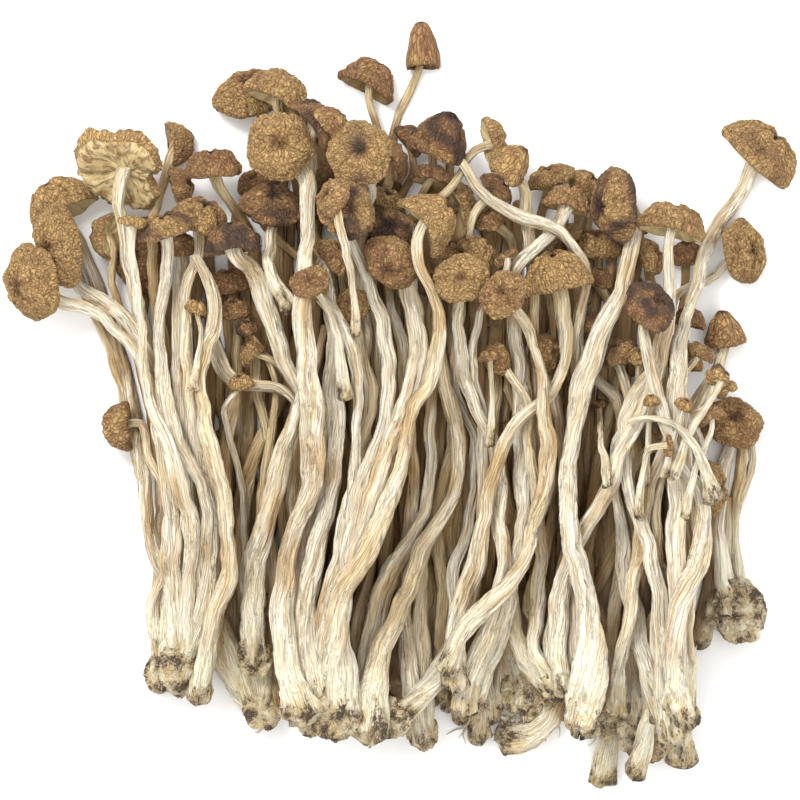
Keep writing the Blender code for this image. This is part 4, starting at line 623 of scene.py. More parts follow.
def lay_rod(run, steps, need, foot_height):
    """Heights of a stiff rod's points, as low as it can lie with every step at or over its need.

    The rod starts high, sags a little, evens out between neighbours and is lifted where it is too low, over
    and over, so that it ends resting on the highest things under it. A tuft holds its foot at one height.
    """
    weights = np.stack([np.interp(steps, run, row) for row in np.eye(len(run))], axis=-1)
    power = (weights ** 2).sum(axis=1)
    z = np.full(len(run), need.max())
    gaps = np.diff(run)
    for turn in range(SETTLE_TURNS):
        z = z - (COARSE_SAG if turn < COARSE_TURNS else FINE_SAG)
        even = z.copy()
        even[1:-1] = (z[:-2] * gaps[1:] + z[2:] * gaps[:-1]) / (gaps[1:] + gaps[:-1])
        even[0] = z[1]
        even[-1] = z[-2]
        z = z + STIFFNESS * (even - z)
        if foot_height is not None:
            z[-1] = foot_height
        for _ in range(LIFTS):
            short = need - weights @ z
            worst = int(np.argmax(short / power ** 0.5))
            if short[worst] < TOO_LOW:
                break
            z = z + weights[worst] * short[worst] / power[worst]
    return z


def foot_spots(foot):
    """Sample spots over a tuft's foot and the half-thickness of the foot at each."""
    x, y, half = foot
    side = np.linspace(-1, 1, FOOT_SAMPLES)
    offsets = np.stack(np.meshgrid(side, side), axis=-1)
    inside = offsets[(offsets ** 2).sum(axis=-1) < 1]
    return np.array([x, y]) + inside * half, half * FOOT_FLATNESS * np.sqrt(1 - (inside ** 2).sum(axis=-1))


def foot_height(foot, routes, others):
    """The lowest height at which a tuft's foot and its stems' joined ends lie clear of what is under them."""
    spots, dip = foot_spots(foot)
    height = float((others[cell_of(spots)] + GAP + dip).max())
    for route, width in routes:
        steps, spots, thick = across(route, width)
        joined = steps > steps[-1] - FOOT_JOINED
        height = max(height, float((others[cell_of(spots)] + GAP + thick)[joined].max()))
    return height


def lay_mushroom(mushroom, route, width, seed, others, own, foot_z):
    """Lay one mushroom over the others and its own tuft's, mark it in its tuft's map and give its points."""
    steps, spots, thick = across(route, width)
    cells = cell_of(spots)
    need = (others[cells] + GAP + thick).max(axis=1)
    if foot_z is not None:
        from_foot = steps[-1] - steps
        ease = np.clip((from_foot - FOOT_JOINED) / (FOOT_CLEAR - FOOT_JOINED), 0, 1)
        free = (widened(own)[cells] + GAP + thick).max(axis=1) - (1 - ease) * FOOT_CUT * width.max()
        need = np.maximum(need, np.where(from_foot > FOOT_JOINED, free, NOWHERE))
    if mushroom[0]:
        rows, columns = CAP_SAMPLES
        down, around = np.meshgrid(np.linspace(0, 1, rows), np.linspace(0, 2 * math.pi, columns))
        cap = cap_points(mushroom, down, around, seed)
        cap_cells = cell_of(route[0] + cap[..., :2])
        under_cap = np.maximum(others, widened(own))[cap_cells]
        need[0] = max(need[0], float((under_cap + GAP - cap[..., 2]).max()))
    heights = lay_rod(along(route), steps, need, foot_z)
    np.maximum.at(own, cells, np.interp(steps, along(route), heights)[:, None] + thick)
    if mushroom[0]:
        np.maximum.at(own, cap_cells, heights[0] + cap[..., 2])
    return np.column_stack([route, heights])


def freedom_of(name):
    """How far a piece's bends may roll."""
    return next((value for start, value in FREEDOM.items() if name.startswith(start)), LOOSE)


def lay_pile():
    """Lay every piece in turn.

    Gives, for each, its name, its foot, the foot's height and its mushrooms with their points, half-widths
    and seeds; and the pile's map of heights.
    """
    shape = (int(2 * FIELD_Y / CELL), int(2 * FIELD_X / CELL))
    ground = np.full(shape, -PRESS - GAP)
    laid = []
    seed = 0
    for name, foot, mushrooms in PILE:
        others = widened(ground)
        own = np.full(shape, NOWHERE)
        routes = [stem_route(mushroom) for mushroom in mushrooms]
        foot_z = foot_height(foot, routes, others) if foot else None
        pieces = []
        for mushroom, (route, width) in zip(mushrooms, routes):
            seed += 1
            under = np.maximum(others, widened(own)) if foot else others
            rolled = roll_down(route, width, under, freedom_of(name))
            route, width = straightened(rolled, width, STRAIGHT, LONGEST_RUN)
            points = lay_mushroom(mushroom, route, width, seed, others, own, foot_z)
            points, width = straightened(points, width, SETTLED_STRAIGHT, FIELD_X)
            pieces.append((mushroom, points, width, seed))
        if foot:
            spots, dip = foot_spots(foot)
            np.maximum.at(own, cell_of(spots), foot_z + dip)
        ground = np.maximum(ground, own)
        laid.append((name, foot, foot_z, pieces))
    return laid, ground


# The grids: how far apart, in mm, the rings of a seen and of a hidden stem lie, and the points round
# each; how far apart the points of a seen and of a hidden small cap lie, how wide a small cap is at most,
# the fewest rows over and under its rim and the fewest columns, and the rings of a stem's ends; the rows
# and columns of a foot
RING_STEP = 1.7
HIDDEN_RING_STEP = 3.0
STEM_AROUND = 30
HIDDEN_STEM_AROUND = 14
END_RINGS = 6
CAP_CELL = 0.39
HIDDEN_CAP_CELL = 0.75
SMALL_CAP = 6.0
FEWEST_OVER = 10
FEWEST_UNDER = 6
FEWEST_COLUMNS = 32
FOOT_GRID = (28, 56)

# Where each kind of noise starts, so that no two are alike
FOLD_SALT = 1
FOOT_LUMP_SALT = 2
FOOT_GRIT_SALT = 4
FOOT_PIT_SALT = 9
FINE_STRAND_SALT = 17
FINE_FOLD_SALT = 31
CAP_LUMP_SALT = 50
TORN_LUMP_SALT = 51
KINK_SALT = 60
SMALL_KINK_SALT = 61
PATCH_SALT = 70
KNOB_SALT = 90
RAGGED_SALT = 95

# Noise: how much the slopes are raised to fill -1 to 1, and, for the folds, how wide and how far the
# noise that bends them is, how steep they rise from a crease and how round they are
NOISE_GAIN = 1.5
WARP_SCALE = 0.6
WARP = 0.9
FOLD_STEEP = 3.6
FOLD_ROUND = 0.7

# A cap's profile from crown to rim and from rim to stem as shares of its half-width: for the count of its
# rows, for its folds and for its rim's bead; and its first and last row
PROFILE_OVER = 1.45
PROFILE_UNDER = 0.42
FOLDS_OVER = 1.3
FOLDS_UNDER = 0.8
BEAD_OVER = 1.35
BEAD_UNDER = 0.85
FIRST_ROW = 0.012
LAST_ROW = 0.97

# The folds of a cap's skin, in mm: how deep, how wide and how long they are; the share that fine folds
# have in them and how much finer those are, the fold that stands level, the half-width from which they
# are full deep, how wide their ring is at the crown as a share of that at the rim, and how soon they
# deepen from there
FOLD = 0.74
FOLD_AROUND = 1.6
FOLD_DOWN = 6.0
FINE_FOLDS = 0.25
FINER = 2.1
LEVEL_FOLD = 0.65
FULL_FOLD_AT = 6.0
CROWN_RING = 0.22
DEEPENING = 3

# Lumps as shares of a cap's half-width: how high and how wide, for any cap and for a torn one, and how a
# torn cap's broad and narrow lumps share; how wide its patches of colour are; how high its gills stand in
# mm and how many there are to each mm of half-width; how wide and how deep the pit at its crown is
CAP_LUMP = 0.05
CAP_LUMP_WIDTH = 0.55
TORN_LUMP = 0.15
TORN_LUMP_WIDTH = 0.22
TORN_BROAD = 0.6
TORN_NARROW = 0.7
CAP_PATCH_WIDTH = 0.7
GILL = 0.06
GILLS_A_MM = 7
PIT_WIDTH = 0.13
PIT_SHARE = 0.6

# The rim, in mm: the bead along it, how wide that is and the half-width from which it is full high, and
# how far the skin goes on under it and how softly it ends; as a share of the cap's half-width, how far it
# rolls under; the same of a torn cap, and how uneven that one's roll is
BEAD = 0.55
BEAD_WIDTH = 1.1
FULL_BEAD_AT = 7.0
SKIN_UNDER = 1.3
TORN_SKIN_UNDER = 2.6
SKIN_FADES = 1.2
ROLL = 0.17
ROLL_EARLY = 0.6
TORN_ROLL = 0.24
TORN_UNEVEN = 0.7

# Shares of a stem's half-width: how flat it is, how much of its solid's width it takes at both ends, its
# waists, its ribs and its grooves
FLAT = 0.18
SLIM_NECK = 0.82
SLIM_FOOT = 1.04
WAIST = 0.2
RIB = 0.07
GROOVE = 0.25
LEVEL_STRAND = 0.75
FINE_STRANDS = 0.2
FINER_STRANDS = 2.2

# How the same run along the stem, in mm: the two lengths of its waists, one turn of its grooves, how they
# sway and how far in radians, how long and how many they are, and the turns of its flat sides and of its
# five and three ribs
WAIST_LENGTHS = (9.0, 23.0)
TWIST = 240.0
SWAY = 38.0
SWAY_BY = 0.7
GROOVE_LENGTH = 22.0
GROOVES_AROUND = 1.15
FLAT_TURN = 50.0
FIVE_TURN = 21.0
THREE_TURN = 15.0
THREE_SHARE = 0.6

# A stem's ends, as shares of its half-width: the flare under its cap, the swell of its foot, how far the
# drawn-in ends go on, what is left of them at the tip, and the foot's knobs and ragged edge; lengths in
# mm
NECK_FLARE = 0.34
NECK_FLARE_LENGTH = 2.6
FOOT_SWELL = 0.06
FOOT_SWELL_LENGTH = 6.0
CAPPED_BEYOND = 0.15
BARE_BEYOND = 0.9
FOOT_BEYOND = 0.55
TIP = 0.06
FOOT_LENGTH = 8.0
KNOB = 0.30
KNOBS_AROUND = 1.5
KNOB_LENGTH = 2.6
RAGGED = 0.3
RAGGED_BEYOND = 2.4
RAGGED_AROUND = 2.6
RAGGED_LENGTH = 9.0

# How far down a stem its first colour and how far up its foot's dirt go, in mm; how its patches of colour
# are scaled round and along it, from its strands
NECK_COLOUR = 12.0
FOOT_DIRT = 24.0
STEM_PATCHES = (0.3, 0.3, 1.5)

# A shared foot: how much longer than wide it is, how near its poles its first and last rows are in
# radians, its lumps, pits and grit as shares of its size, with how many of each go round it, which depth
# of pit stands level, and how many patches of colour go round it
FOOT_LONG = 1.12
FOOT_POLE = 0.05
LUMPS = (0.20, 1.9)
PITS = (0.13, 3.4)
GRIT = (0.05, 9)
LEVEL_PIT = 0.6
FOOT_PATCHES = 2.2

# How often a stem's path is evened, how far its kinks go, how long they are and the ends that they leave
# alone, in mm; how strong they are sideways, along and up, and how much finer and weaker the small ones
# are
EVENED = 4
KINK = 0.9
KINK_LENGTH = 11.0
KINK_FREE = 12.0
KINK_SHARES = (1.0, 0.3, 0.4)
SMALL_KINKS = 2.3
SMALL_KINK_SHARE = 0.5

# How far up into the cap a stem ends, as a share of its solid's seat, and how low anything may lie, in mm
SEAT_SHARE = 0.62
LOWEST = 0.02

# The material slot of stems, feet and roots, after a cap's skin and its underside
STEM_SLOT = 2

# Roots: their half-width in mm and how it differs, rings and points round, how they thin; the ways they
# set out, in radians, their lengths as shares of the longest, how far they bend and wiggle and over how
# many mm; how far they start about their spot, how high they may rise and how low they may lie, and the
# paint they have; for each piece that has them, where they start, how many there are and how long they
# get, in mm
ROOT_HALF = 0.34
ROOT_HALVES = (0.7, 1.3)
ROOT_RINGS = 16
ROOT_AROUND = 6
ROOT_THINS = 0.75
ROOT_TURNS = (-2.6, -0.5)
ROOT_LENGTHS = (0.45, 1.0)
ROOT_BENDS = (-1.4, 1.4)
ROOT_WIGGLE = 0.35
ROOT_WIGGLE_LENGTHS = (1.0, 2.4)
ROOT_SPREAD = (2.5, 1.5)
ROOT_RISE = 0.9
ROOT_ENDS_AT = 0.5
ROOT_LOWEST = 0.4
ROOT_PAINT = dict(crease=1.0, spread=1.0, patch=0.9, tone=0.9, stain=0.0, foot=0.35)
ROOT_SHADE = 0.7
ROOTS = {
    "tuft_under_clump": (31.0, -73.5, 3.5, 16, 14.0),
    "tuft_under_right": (44.0, -73.5, 3.0, 8, 10.0),
    "tuft_under_middle": (2.0, -73.0, 3.0, 5, 8.0),
    "tuft_top_f": (19.0, -76.0, 4.0, 14, 10.0),
    "mushroom_lying_foot": (36.0, -76.5, 3.0, 5, 8.0),
    "tuft_dark_foot": (-36.0, -78.0, 3.0, 4, 5.0),
    "tuft_mid_i": (37.5, -74.0, 6.0, 9, 12.0),
    "tuft_back_pair": (52.5, -80.0, 3.0, 5, 7.0),
}

# Thin stems that lie lowest, between their neighbours: their height, half-width and points, how far they
# wave, and their darkness, stain and brownness; for the pieces that have them, x and y of the upper and
# of the lower end. All in mm
LOW_STEM_HEIGHT = 1.5
LOW_STEM_HALF = 1.45
LOW_STEM_POINTS = 7
LOW_STEM_WAVE = 0.5
LOW_STEM_FINISH = (0.6, 0.0, 0.8)
LOW_STEMS = {
    "tuft_low_left": [(-58.5, 33, -58, -12), (-61.5, 14, -60, -28), (-47.6, 20, -47, -32),
                      (-50.6, 36, -50.8, 2), (-82, 37, -63.5, -14)],
    "tuft_behind_left": [(-43.6, 30, -41.5, -42), (-34.2, 22, -33.5, -42), (-38.5, 16, -38, -42),
                         (-41.5, 47, -42, 2), (-36.2, 42, -37, 0), (-39, 33, -40.6, -14)],
    "mushroom_back_a": [(-20, 67, -21, 20), (-22.5, 26, -23, -34), (-27.5, 48, -28.5, -9),
                        (-19.6, 18, -19.8, -7)],
    "mushroom_back_c": [(8, 63, 6, 18), (12.3, 62, 10, 20), (-0.2, 34, -0.6, 8), (-4.8, 36, -5.4, 8)],
    "tuft_top_f": [(22.6, 52, 20, -2), (15.4, 0, 14.5, -60), (20, -54, 23.2, -79), (16.8, 30, 16.4, 2),
                   (8, -38, 8.4, -66), (24.6, -58, 25, -76), (10.5, -50, 11.5, -76), (13.4, -52, 14.6, -79)],
    "tuft_top_g": [(27, 47, 25.4, -4), (35.4, 30, 34.4, -24), (29.7, 50, 28.7, 24), (24.8, 46, 24, 20)],
    "tuft_back_right": [(45, 55, 42.6, 6), (39.5, 12, 39.8, -44), (47.8, 52, 47, 26), (38.4, -28, 38.4, -52)],
    "tuft_back_pair": [(60.2, 46, 57.8, 8), (51.2, 8, 50.6, -40), (53, 40, 54, 6), (65.9, -12, 65.8, -40),
                       (45, -46, 45, -70), (71.6, -22, 71.4, -46), (55.4, -42, 55.6, -62)],
    "tuft_outlying": [(85.8, -9, 83.4, -42), (81.5, -24, 82.4, -44)],
}

# Lumps of dirt and root: where they lie from the middle of their tuft's foot and their half-width, in mm
CRUST = {
    "tuft_right": [(-0.9, -4.2, -1.0, 3.4), (4.1, -6.0, -2.0, 3.2), (7.4, -4.6, -2.4, 2.4)],
    "tuft_back_pair": [(-1.0, -5.0, 0.0, 2.6)],
    "tuft_top_f": [(4.4, -2.9, -0.5, 2.8), (2.4, -7.0, -1.0, 1.8)],
    "tuft_under_clump": [(2.6, -5.4, 0.0, 3.0)],
    "tuft_under_middle": [(5.7, -3.2, 0.0, 2.6), (-4.9, -5.6, 0.0, 3.0)],
    "tuft_centre": [(-6.0, -2.8, -0.8, 2.8)],
    "tuft_left": [(-4.2, -2.6, -0.6, 3.4), (3.2, -3.8, -0.6, 3.0)],
}

# Fans of low stems that run from a tuft's foot: how many, the upper ends' x from and to, and their y; and
# how unevenly they end, in mm
FAN_UNEVEN = 4
LOW_FANS = {
    "tuft_under_middle": (9, -22.0, 22.0, 4.0),
    "tuft_under_clump": (6, 20.0, 45.0, 8.0),
    "tuft_under_right": (8, 43.0, 71.0, 12.0),
    "tuft_behind_left": (5, -50.0, -26.0, -4.0),
}

# Young mushrooms and a loose arching stem that lie on the pile, by the piece they are one mesh with,
# written as the pile's mushrooms are; and where their seeds start
YOUNG_SEED = 500
YOUNG = {
    "tuft_right": [
        ("button", 71.2, 0.2, 2.3, 60, 35, 0.6, 0.8, [(69.5, -5), (67.5, -11), (66, -18)]),
        ("button", 62.6, 1.2, 2.1, 95, 25, 0.6, 0.8, [(62, -5), (61.6, -12), (61.5, -20)]),
        ("umbrella", 77.2, -2.4, 3.5, 115, -8, 0.7, 0.9, [(77.2, -5.5), (75.5, -12), (72.5, -20), (71, -28)]),
        ("torn", 67.2, -10.4, 2.5, 5, -15, 0.7, 0.9, [(64.5, -10.2), (61.5, -12), (60, -18), (59.5, -28)]),
        ("round", 49.6, 0.4, 2.3, 110, 10, 0.6, 0.8, [(50, -4), (51, -12), (51.8, -20)]),
        ("torn", 80.6, 6.2, 4.0, 60, -20, 0.8, 1.0, [(78.6, 2.6), (75, -3), (71.5, -9), (68, -18)]),
        (None, 57.5, -4.5, 0.9, 0, 0, 0.9, 1.5,
         [(61, -3.2), (65.5, -4.2), (70, -5.4), (73.4, -10), (76.2, -16.5), (78, -23)]),
    ],
    "tuft_top_g": [
        ("round", 22.4, 12.6, 2.6, 100, 20, 0.7, 0.9, [(22.8, 8), (23.2, 0), (22.6, -10)]),
    ],
    "tuft_centre": [
        ("round", -22.6, 31.0, 4.3, 120, 62, 0.9, 1.1, [(-20, 27), (-16.5, 20), (-14.5, 10), (-14, 2)]),
        ("round", -17.6, 52.0, 5.0, 150, 42, 1.0, 1.2, [(-15.5, 46), (-13, 36), (-11.5, 26), (-11, 18)]),
    ],
    "mushroom_mid_e": [
        ("button", -50.8, 24.6, 2.5, 70, 20, 0.6, 0.8, [(-49.8, 20), (-50.6, 12), (-51.4, 4)]),
    ],
}

# How dark a place between its neighbours gets: their reach, and the depths of no and of full shade, in mm
SHADE_REACH = 4.5
SHADE_FROM = 1.6
SHADE_FULL = 13.0

# Finish of single mushrooms: how dark the cap is, how much of it a purple-black blotch takes and how
# brown the stem is, from 0 to 1, for each mushroom of a piece in its order. The others get theirs by
# chance
FINISH = {
    "mushroom_front_a": [(0.15, 0.0, 0.1)],
    "mushroom_front_f": [(0.1, 0.05, 0.1)],
    "mushroom_front_g": [(0.05, 0.1, 0.25)],
    "mushroom_front_h": [(0.45, 0.75, 0.05)],
    "mushroom_front_i": [(0.3, 0.3, 0.1)],
    "mushroom_front_j": [(0.35, 0.1, 0.3)],
    "mushroom_front_k": [(0.85, 0.9, 0.1)],
    "mushroom_short": [(0.6, 0.55, 0.35)],
    "mushroom_mid_a": [(0.75, 0.9, 0.1)],
    "mushroom_mid_e": [(0.75, 0.85, 0.15)],
    "mushroom_right_g": [(0.2, 0.45, 0.1)],
    "mushroom_right_f": [(0.25, 0.35, 0.1)],
    "tuft_outlying": [(0.5, 0.2, 0.0), (0.45, 0.3, 0.0)],
    "tuft_left": [(0.2, 0.6, 0.15), (0.1, 0.0, 0.2), (0.3, 0.0, 0.3), (0.15, 0.0, 0.1), (0.15, 0.1, 0.15)],
}

# The others' finish: the seed, the step from mushroom to mushroom, the darkest cap, the stains, how many
# caps have one, the brownest stem, and how much darker and browner the hidden ones are
CHANCE = 7
CHANCE_STEP = 31
DARKEST = 0.6
STAINS = (0.3, 0.8)
STAINED = 0.25
BROWNEST = 0.35
HIDDEN_DARKER = 0.2
HIDDEN_BROWNER = 0.35


def picture(red, green, blue):
    """A picture colour, 0 to 255, as the light values that a shader takes."""
    share = np.array([red, green, blue]) / 255.0
    light = np.where(share <= 0.04045, share / 12.92, ((share + 0.055) / 1.055) ** 2.4)
    return (*(float(part) for part in light), 1.0)


# Colours, from 0 to 255 as in a picture
CAP_TAN = picture(206, 166, 106)
CAP_BROWN = picture(168, 124, 80)
# Painted shade in a cap's creases and in the pit at its middle, and the darker skin of that middle and of
# torn and stained flesh under it
CAP_SHADE_AND_DARK_SKIN = picture(100, 62, 30)
CAP_BLOTCH = picture(66, 48, 42)
# A painted highlight on the raised ridges of a cap's folds
CAP_RIDGE_HIGHLIGHT = picture(226, 186, 128)
UNDER_OLIVE = picture(200, 182, 134)
UNDER_BROWN = picture(150, 124, 78)
STEM_CREAM = picture(234, 227, 209)
STEM_TAN = picture(218, 196, 152)
STEM_GOLD = picture(178, 142, 88)
# Painted shade in a stem's grooves and creases and in a foot's pits
STEM_CREASE_SHADE = picture(140, 100, 50)
FOOT_PALE = picture(236, 230, 206)
FOOT_OCHRE = picture(198, 168, 102)
FOOT_DIRT_BROWN = picture(138, 106, 62)
FOOT_DARK = picture(52, 42, 32)
# Painted shade where a piece lies deep between its neighbours in the pile
PAINTED_SHADE_BROWN = picture(104, 70, 30)
FLOOR_WHITE = picture(252, 252, 251)


def chance(cells, salt):
    """A fixed random number from -1 to 1 for each whole-number place."""
    mixed = cells @ np.array([374761393, 668265263, 1440662683]) + salt * 974634777
    mixed = (mixed ^ (mixed >> 13)) * 1274126177
    return ((mixed ^ (mixed >> 16)) & 0xFFFFFF) / float(0x7FFFFF) - 1.0


def swells(spots, salt):
    """Smooth noise from about -1 to 1: each place blends the slopes that chance gives its eight corners."""
    corner = np.floor(spots).astype(np.int64)
    part = spots - corner
    ease = part ** 3 * (part * (part * 6 - 15) + 10)
    total = np.zeros(spots.shape[:-1])
    for step in np.ndindex(2, 2, 2):
        near = np.array(step)
        weight = np.where(near, ease, 1 - ease).prod(axis=-1)
        away = part - near
        for axis in range(3):
            total += weight * away[..., axis] * chance(corner + near, salt * 3 + axis)
    return total * NOISE_GAIN


def folds(spots, salt):
    """Rounded folds, from 0 in the narrow creases between them to 1: the creases lie where noise is 0."""
    warp = np.stack([swells(spots * WARP_SCALE + 11 * axis, salt + 5 + axis) for axis in range(3)], axis=-1)
    return np.clip(np.abs(swells(spots + WARP * warp, salt)) * FOLD_STEEP, 0, 1) ** FOLD_ROUND


def patches(spots):
    """Soft patches from 0 to 1."""
    return np.clip(0.5 + 0.9 * swells(spots, PATCH_SALT), 0, 1)


def wrapped(around, ring, place, length):
    """Places for noise on a stem or a cone: round a ring, and so many lengths down it."""
    return np.stack([np.cos(around) * ring, np.sin(around) * ring, place / length], axis=-1)


def normals_of(grid):
    """Outward directions of a closed-round grid of points: across its rows times along them."""
    around = np.roll(grid, -1, axis=1) - np.roll(grid, 1, axis=1)
    down = np.gradient(grid, axis=0)
    out = np.cross(down, around)
    return out / np.maximum(np.linalg.norm(out, axis=-1, keepdims=True), 1e-9)


def smooth_path(points, width, step, seed):
    """A smooth path through a stem's points, with its half-width and its run length at each point.

    Between two points the path is the Hermite cubic on the run length, with the mean slope at each; then
    every point moves towards the middle of its neighbours a few times, and noise kinks the path between its
    ends.
    """
    run = np.concatenate([[0], np.cumsum(np.linalg.norm(np.diff(points, axis=0), axis=1))])
    slopes = np.gradient(points, run, axis=0)
    at = np.linspace(0, run[-1], max(int(run[-1] / step), 6))
    piece = np.clip(np.searchsorted(run, at, side="right") - 1, 0, len(run) - 2)
    span = (run[piece + 1] - run[piece])[:, None]
    t = (at - run[piece])[:, None] / span
    path = (2 * t ** 3 - 3 * t ** 2 + 1) * points[piece] + (t ** 3 - 2 * t ** 2 + t) * span * slopes[piece]
    path = path + (3 * t ** 2 - 2 * t ** 3) * points[piece + 1] + (t ** 3 - t ** 2) * span * slopes[piece + 1]
    for _ in range(EVENED):
        path[1:-1] = 0.25 * path[:-2] + 0.5 * path[1:-1] + 0.25 * path[2:]
    between = np.clip(np.minimum(at, at[-1] - at) / KINK_FREE, 0, 1)
    for axis, share in enumerate(KINK_SHARES):
        places = np.stack([at / KINK_LENGTH, 0 * at + 5.3 * axis, 0 * at + 1.7 * seed], axis=-1)
        small = SMALL_KINK_SHARE * swells(places * SMALL_KINKS, SMALL_KINK_SALT)
        path[:, axis] += KINK * share * between * (swells(places, KINK_SALT) + small)
    return path, np.interp(at, run, width), at


def carried_frames(path):
    """Two directions square to the path at each of its points, carried along it with no turn of their own."""
    ahead = np.gradient(path, axis=0)
    ahead /= np.linalg.norm(ahead, axis=1, keepdims=True)
    first = np.zeros_like(path)
    start = np.cross(ahead[-1], [0, 0, 1])
    first[-1] = start / np.linalg.norm(start)
    for i in range(len(path) - 2, -1, -1):
        moved = first[i + 1] - ahead[i] * (first[i + 1] @ ahead[i])
        first[i] = moved / np.linalg.norm(moved)
    return first, np.cross(first, ahead), ahead


class Body:
    """The points, triangles, finishes and painted values of one piece, gathered from its surfaces."""

    def __init__(self):
        self.points = []
        self.triangles = []
        self.finishes = []
        self.paint = []
        self.count = 0

    def add(self, grid, finish, paint):
        """Add a surface that is closed round its columns and drawn in to a point at both ends.

        Paint is a dictionary of arrays over the grid's points; finish gives the slot of each row of faces.
        """
        rows, columns = grid.shape[:2]
        number = self.count + 1 + np.arange(rows * columns).reshape(rows, columns)
        first, last = self.count, self.count + 1 + rows * columns
        ahead = np.roll(number, -1, axis=1)
        quads = np.stack([number[:-1], number[1:], ahead[1:], number[:-1], ahead[1:], ahead[:-1]], axis=-1)
        start = np.stack([np.full(columns, first), number[0], ahead[0]], axis=-1)
        end = np.stack([number[-1], np.full(columns, last), ahead[-1]], axis=-1)
        self.triangles.append(np.concatenate([start, quads.reshape(-1, 3), end]))
        finish = np.broadcast_to(finish, rows + 1)
        to_each = np.concatenate([[columns], np.full(rows - 1, 2 * columns), [columns]])
        self.finishes.append(np.repeat(finish, to_each))
        self.points.append(self.with_ends(grid))
        self.paint.append({name: self.with_ends(value) for name, value in paint.items()})
        self.count = last + 1

    @staticmethod
    def with_ends(values):
        """A grid's values in one row, with the means of its first and of its last row at its ends."""
        flat = values.reshape(-1, *values.shape[2:])
        return np.concatenate([values[0].mean(axis=0)[None], flat, values[-1].mean(axis=0)[None]])

    def finished(self, name, materials):
        """The mesh object, with its paint as attributes."""
        points, triangles = np.concatenate(self.points), np.concatenate(self.triangles)
        points[:, :2] -= PILE_MIDDLE
        mesh = bpy.data.meshes.new(name)
        mesh.vertices.add(len(points))
        mesh.vertices.foreach_set("co", (points * MM).astype(np.float32).ravel())
        mesh.loops.add(triangles.size)
        mesh.loops.foreach_set("vertex_index", triangles.astype(np.int32).ravel())
        mesh.polygons.add(len(triangles))
        mesh.polygons.foreach_set("loop_start", np.arange(0, triangles.size, 3, dtype=np.int32))
        mesh.polygons.foreach_set("material_index", np.concatenate(self.finishes).astype(np.int32))
        mesh.update(calc_edges=True)
        mesh.shade_smooth()
        for key in self.paint[0]:
            values = np.concatenate([paint[key] for paint in self.paint]).astype(np.float32)
            kind, field = ("FLOAT_VECTOR", "vector") if values.ndim == 2 else ("FLOAT", "value")
            mesh.attributes.new(key, kind, "POINT").data.foreach_set(field, values.ravel())
        for material in materials:
            mesh.materials.append(material)
        made = bpy.data.objects.new(name, mesh)
        bpy.context.scene.collection.objects.link(made)
        return made


class Shade:
    """How deep each place lies between its neighbours: how far the pile's mean height round it is over it."""

    def __init__(self, heights):
        reach = int(SHADE_REACH / CELL)
        mean = heights
        for axis in (0, 1):
            mean = sum(np.roll(mean, step, axis=axis) for step in range(-reach, reach + 1)) / (2 * reach + 1)
        self.mean = mean

    def at(self, points):
        """Shade from 0 to 1 of points whose heights haven't been pressed flatter yet."""
        deep = self.mean[cell_of(points[..., :2])] - points[..., 2]
        return np.clip((deep - SHADE_FROM) / (SHADE_FULL - SHADE_FROM), 0, 1)


def pressed_flat(grid):
    """Lower the dry pieces to their pressed height, and flatten what would sink into the surface."""
    out = grid.copy()
    out[..., 2] = np.maximum(out[..., 2] * FLATTENED, LOWEST)
    return out


def paint_on(grid, **values):
    """The values to paint on a grid's points, each given as one number or as an array over the grid."""
    even = np.ones(grid.shape[:2])
    return {name: value if np.ndim(value) else value * even for name, value in values.items()}


def outward(around, first, second):
    """For each ring of a path, the directions in which its points lie from the path."""
    return np.cos(around)[..., None] * first[:, None] + np.sin(around)[..., None] * second[:, None]


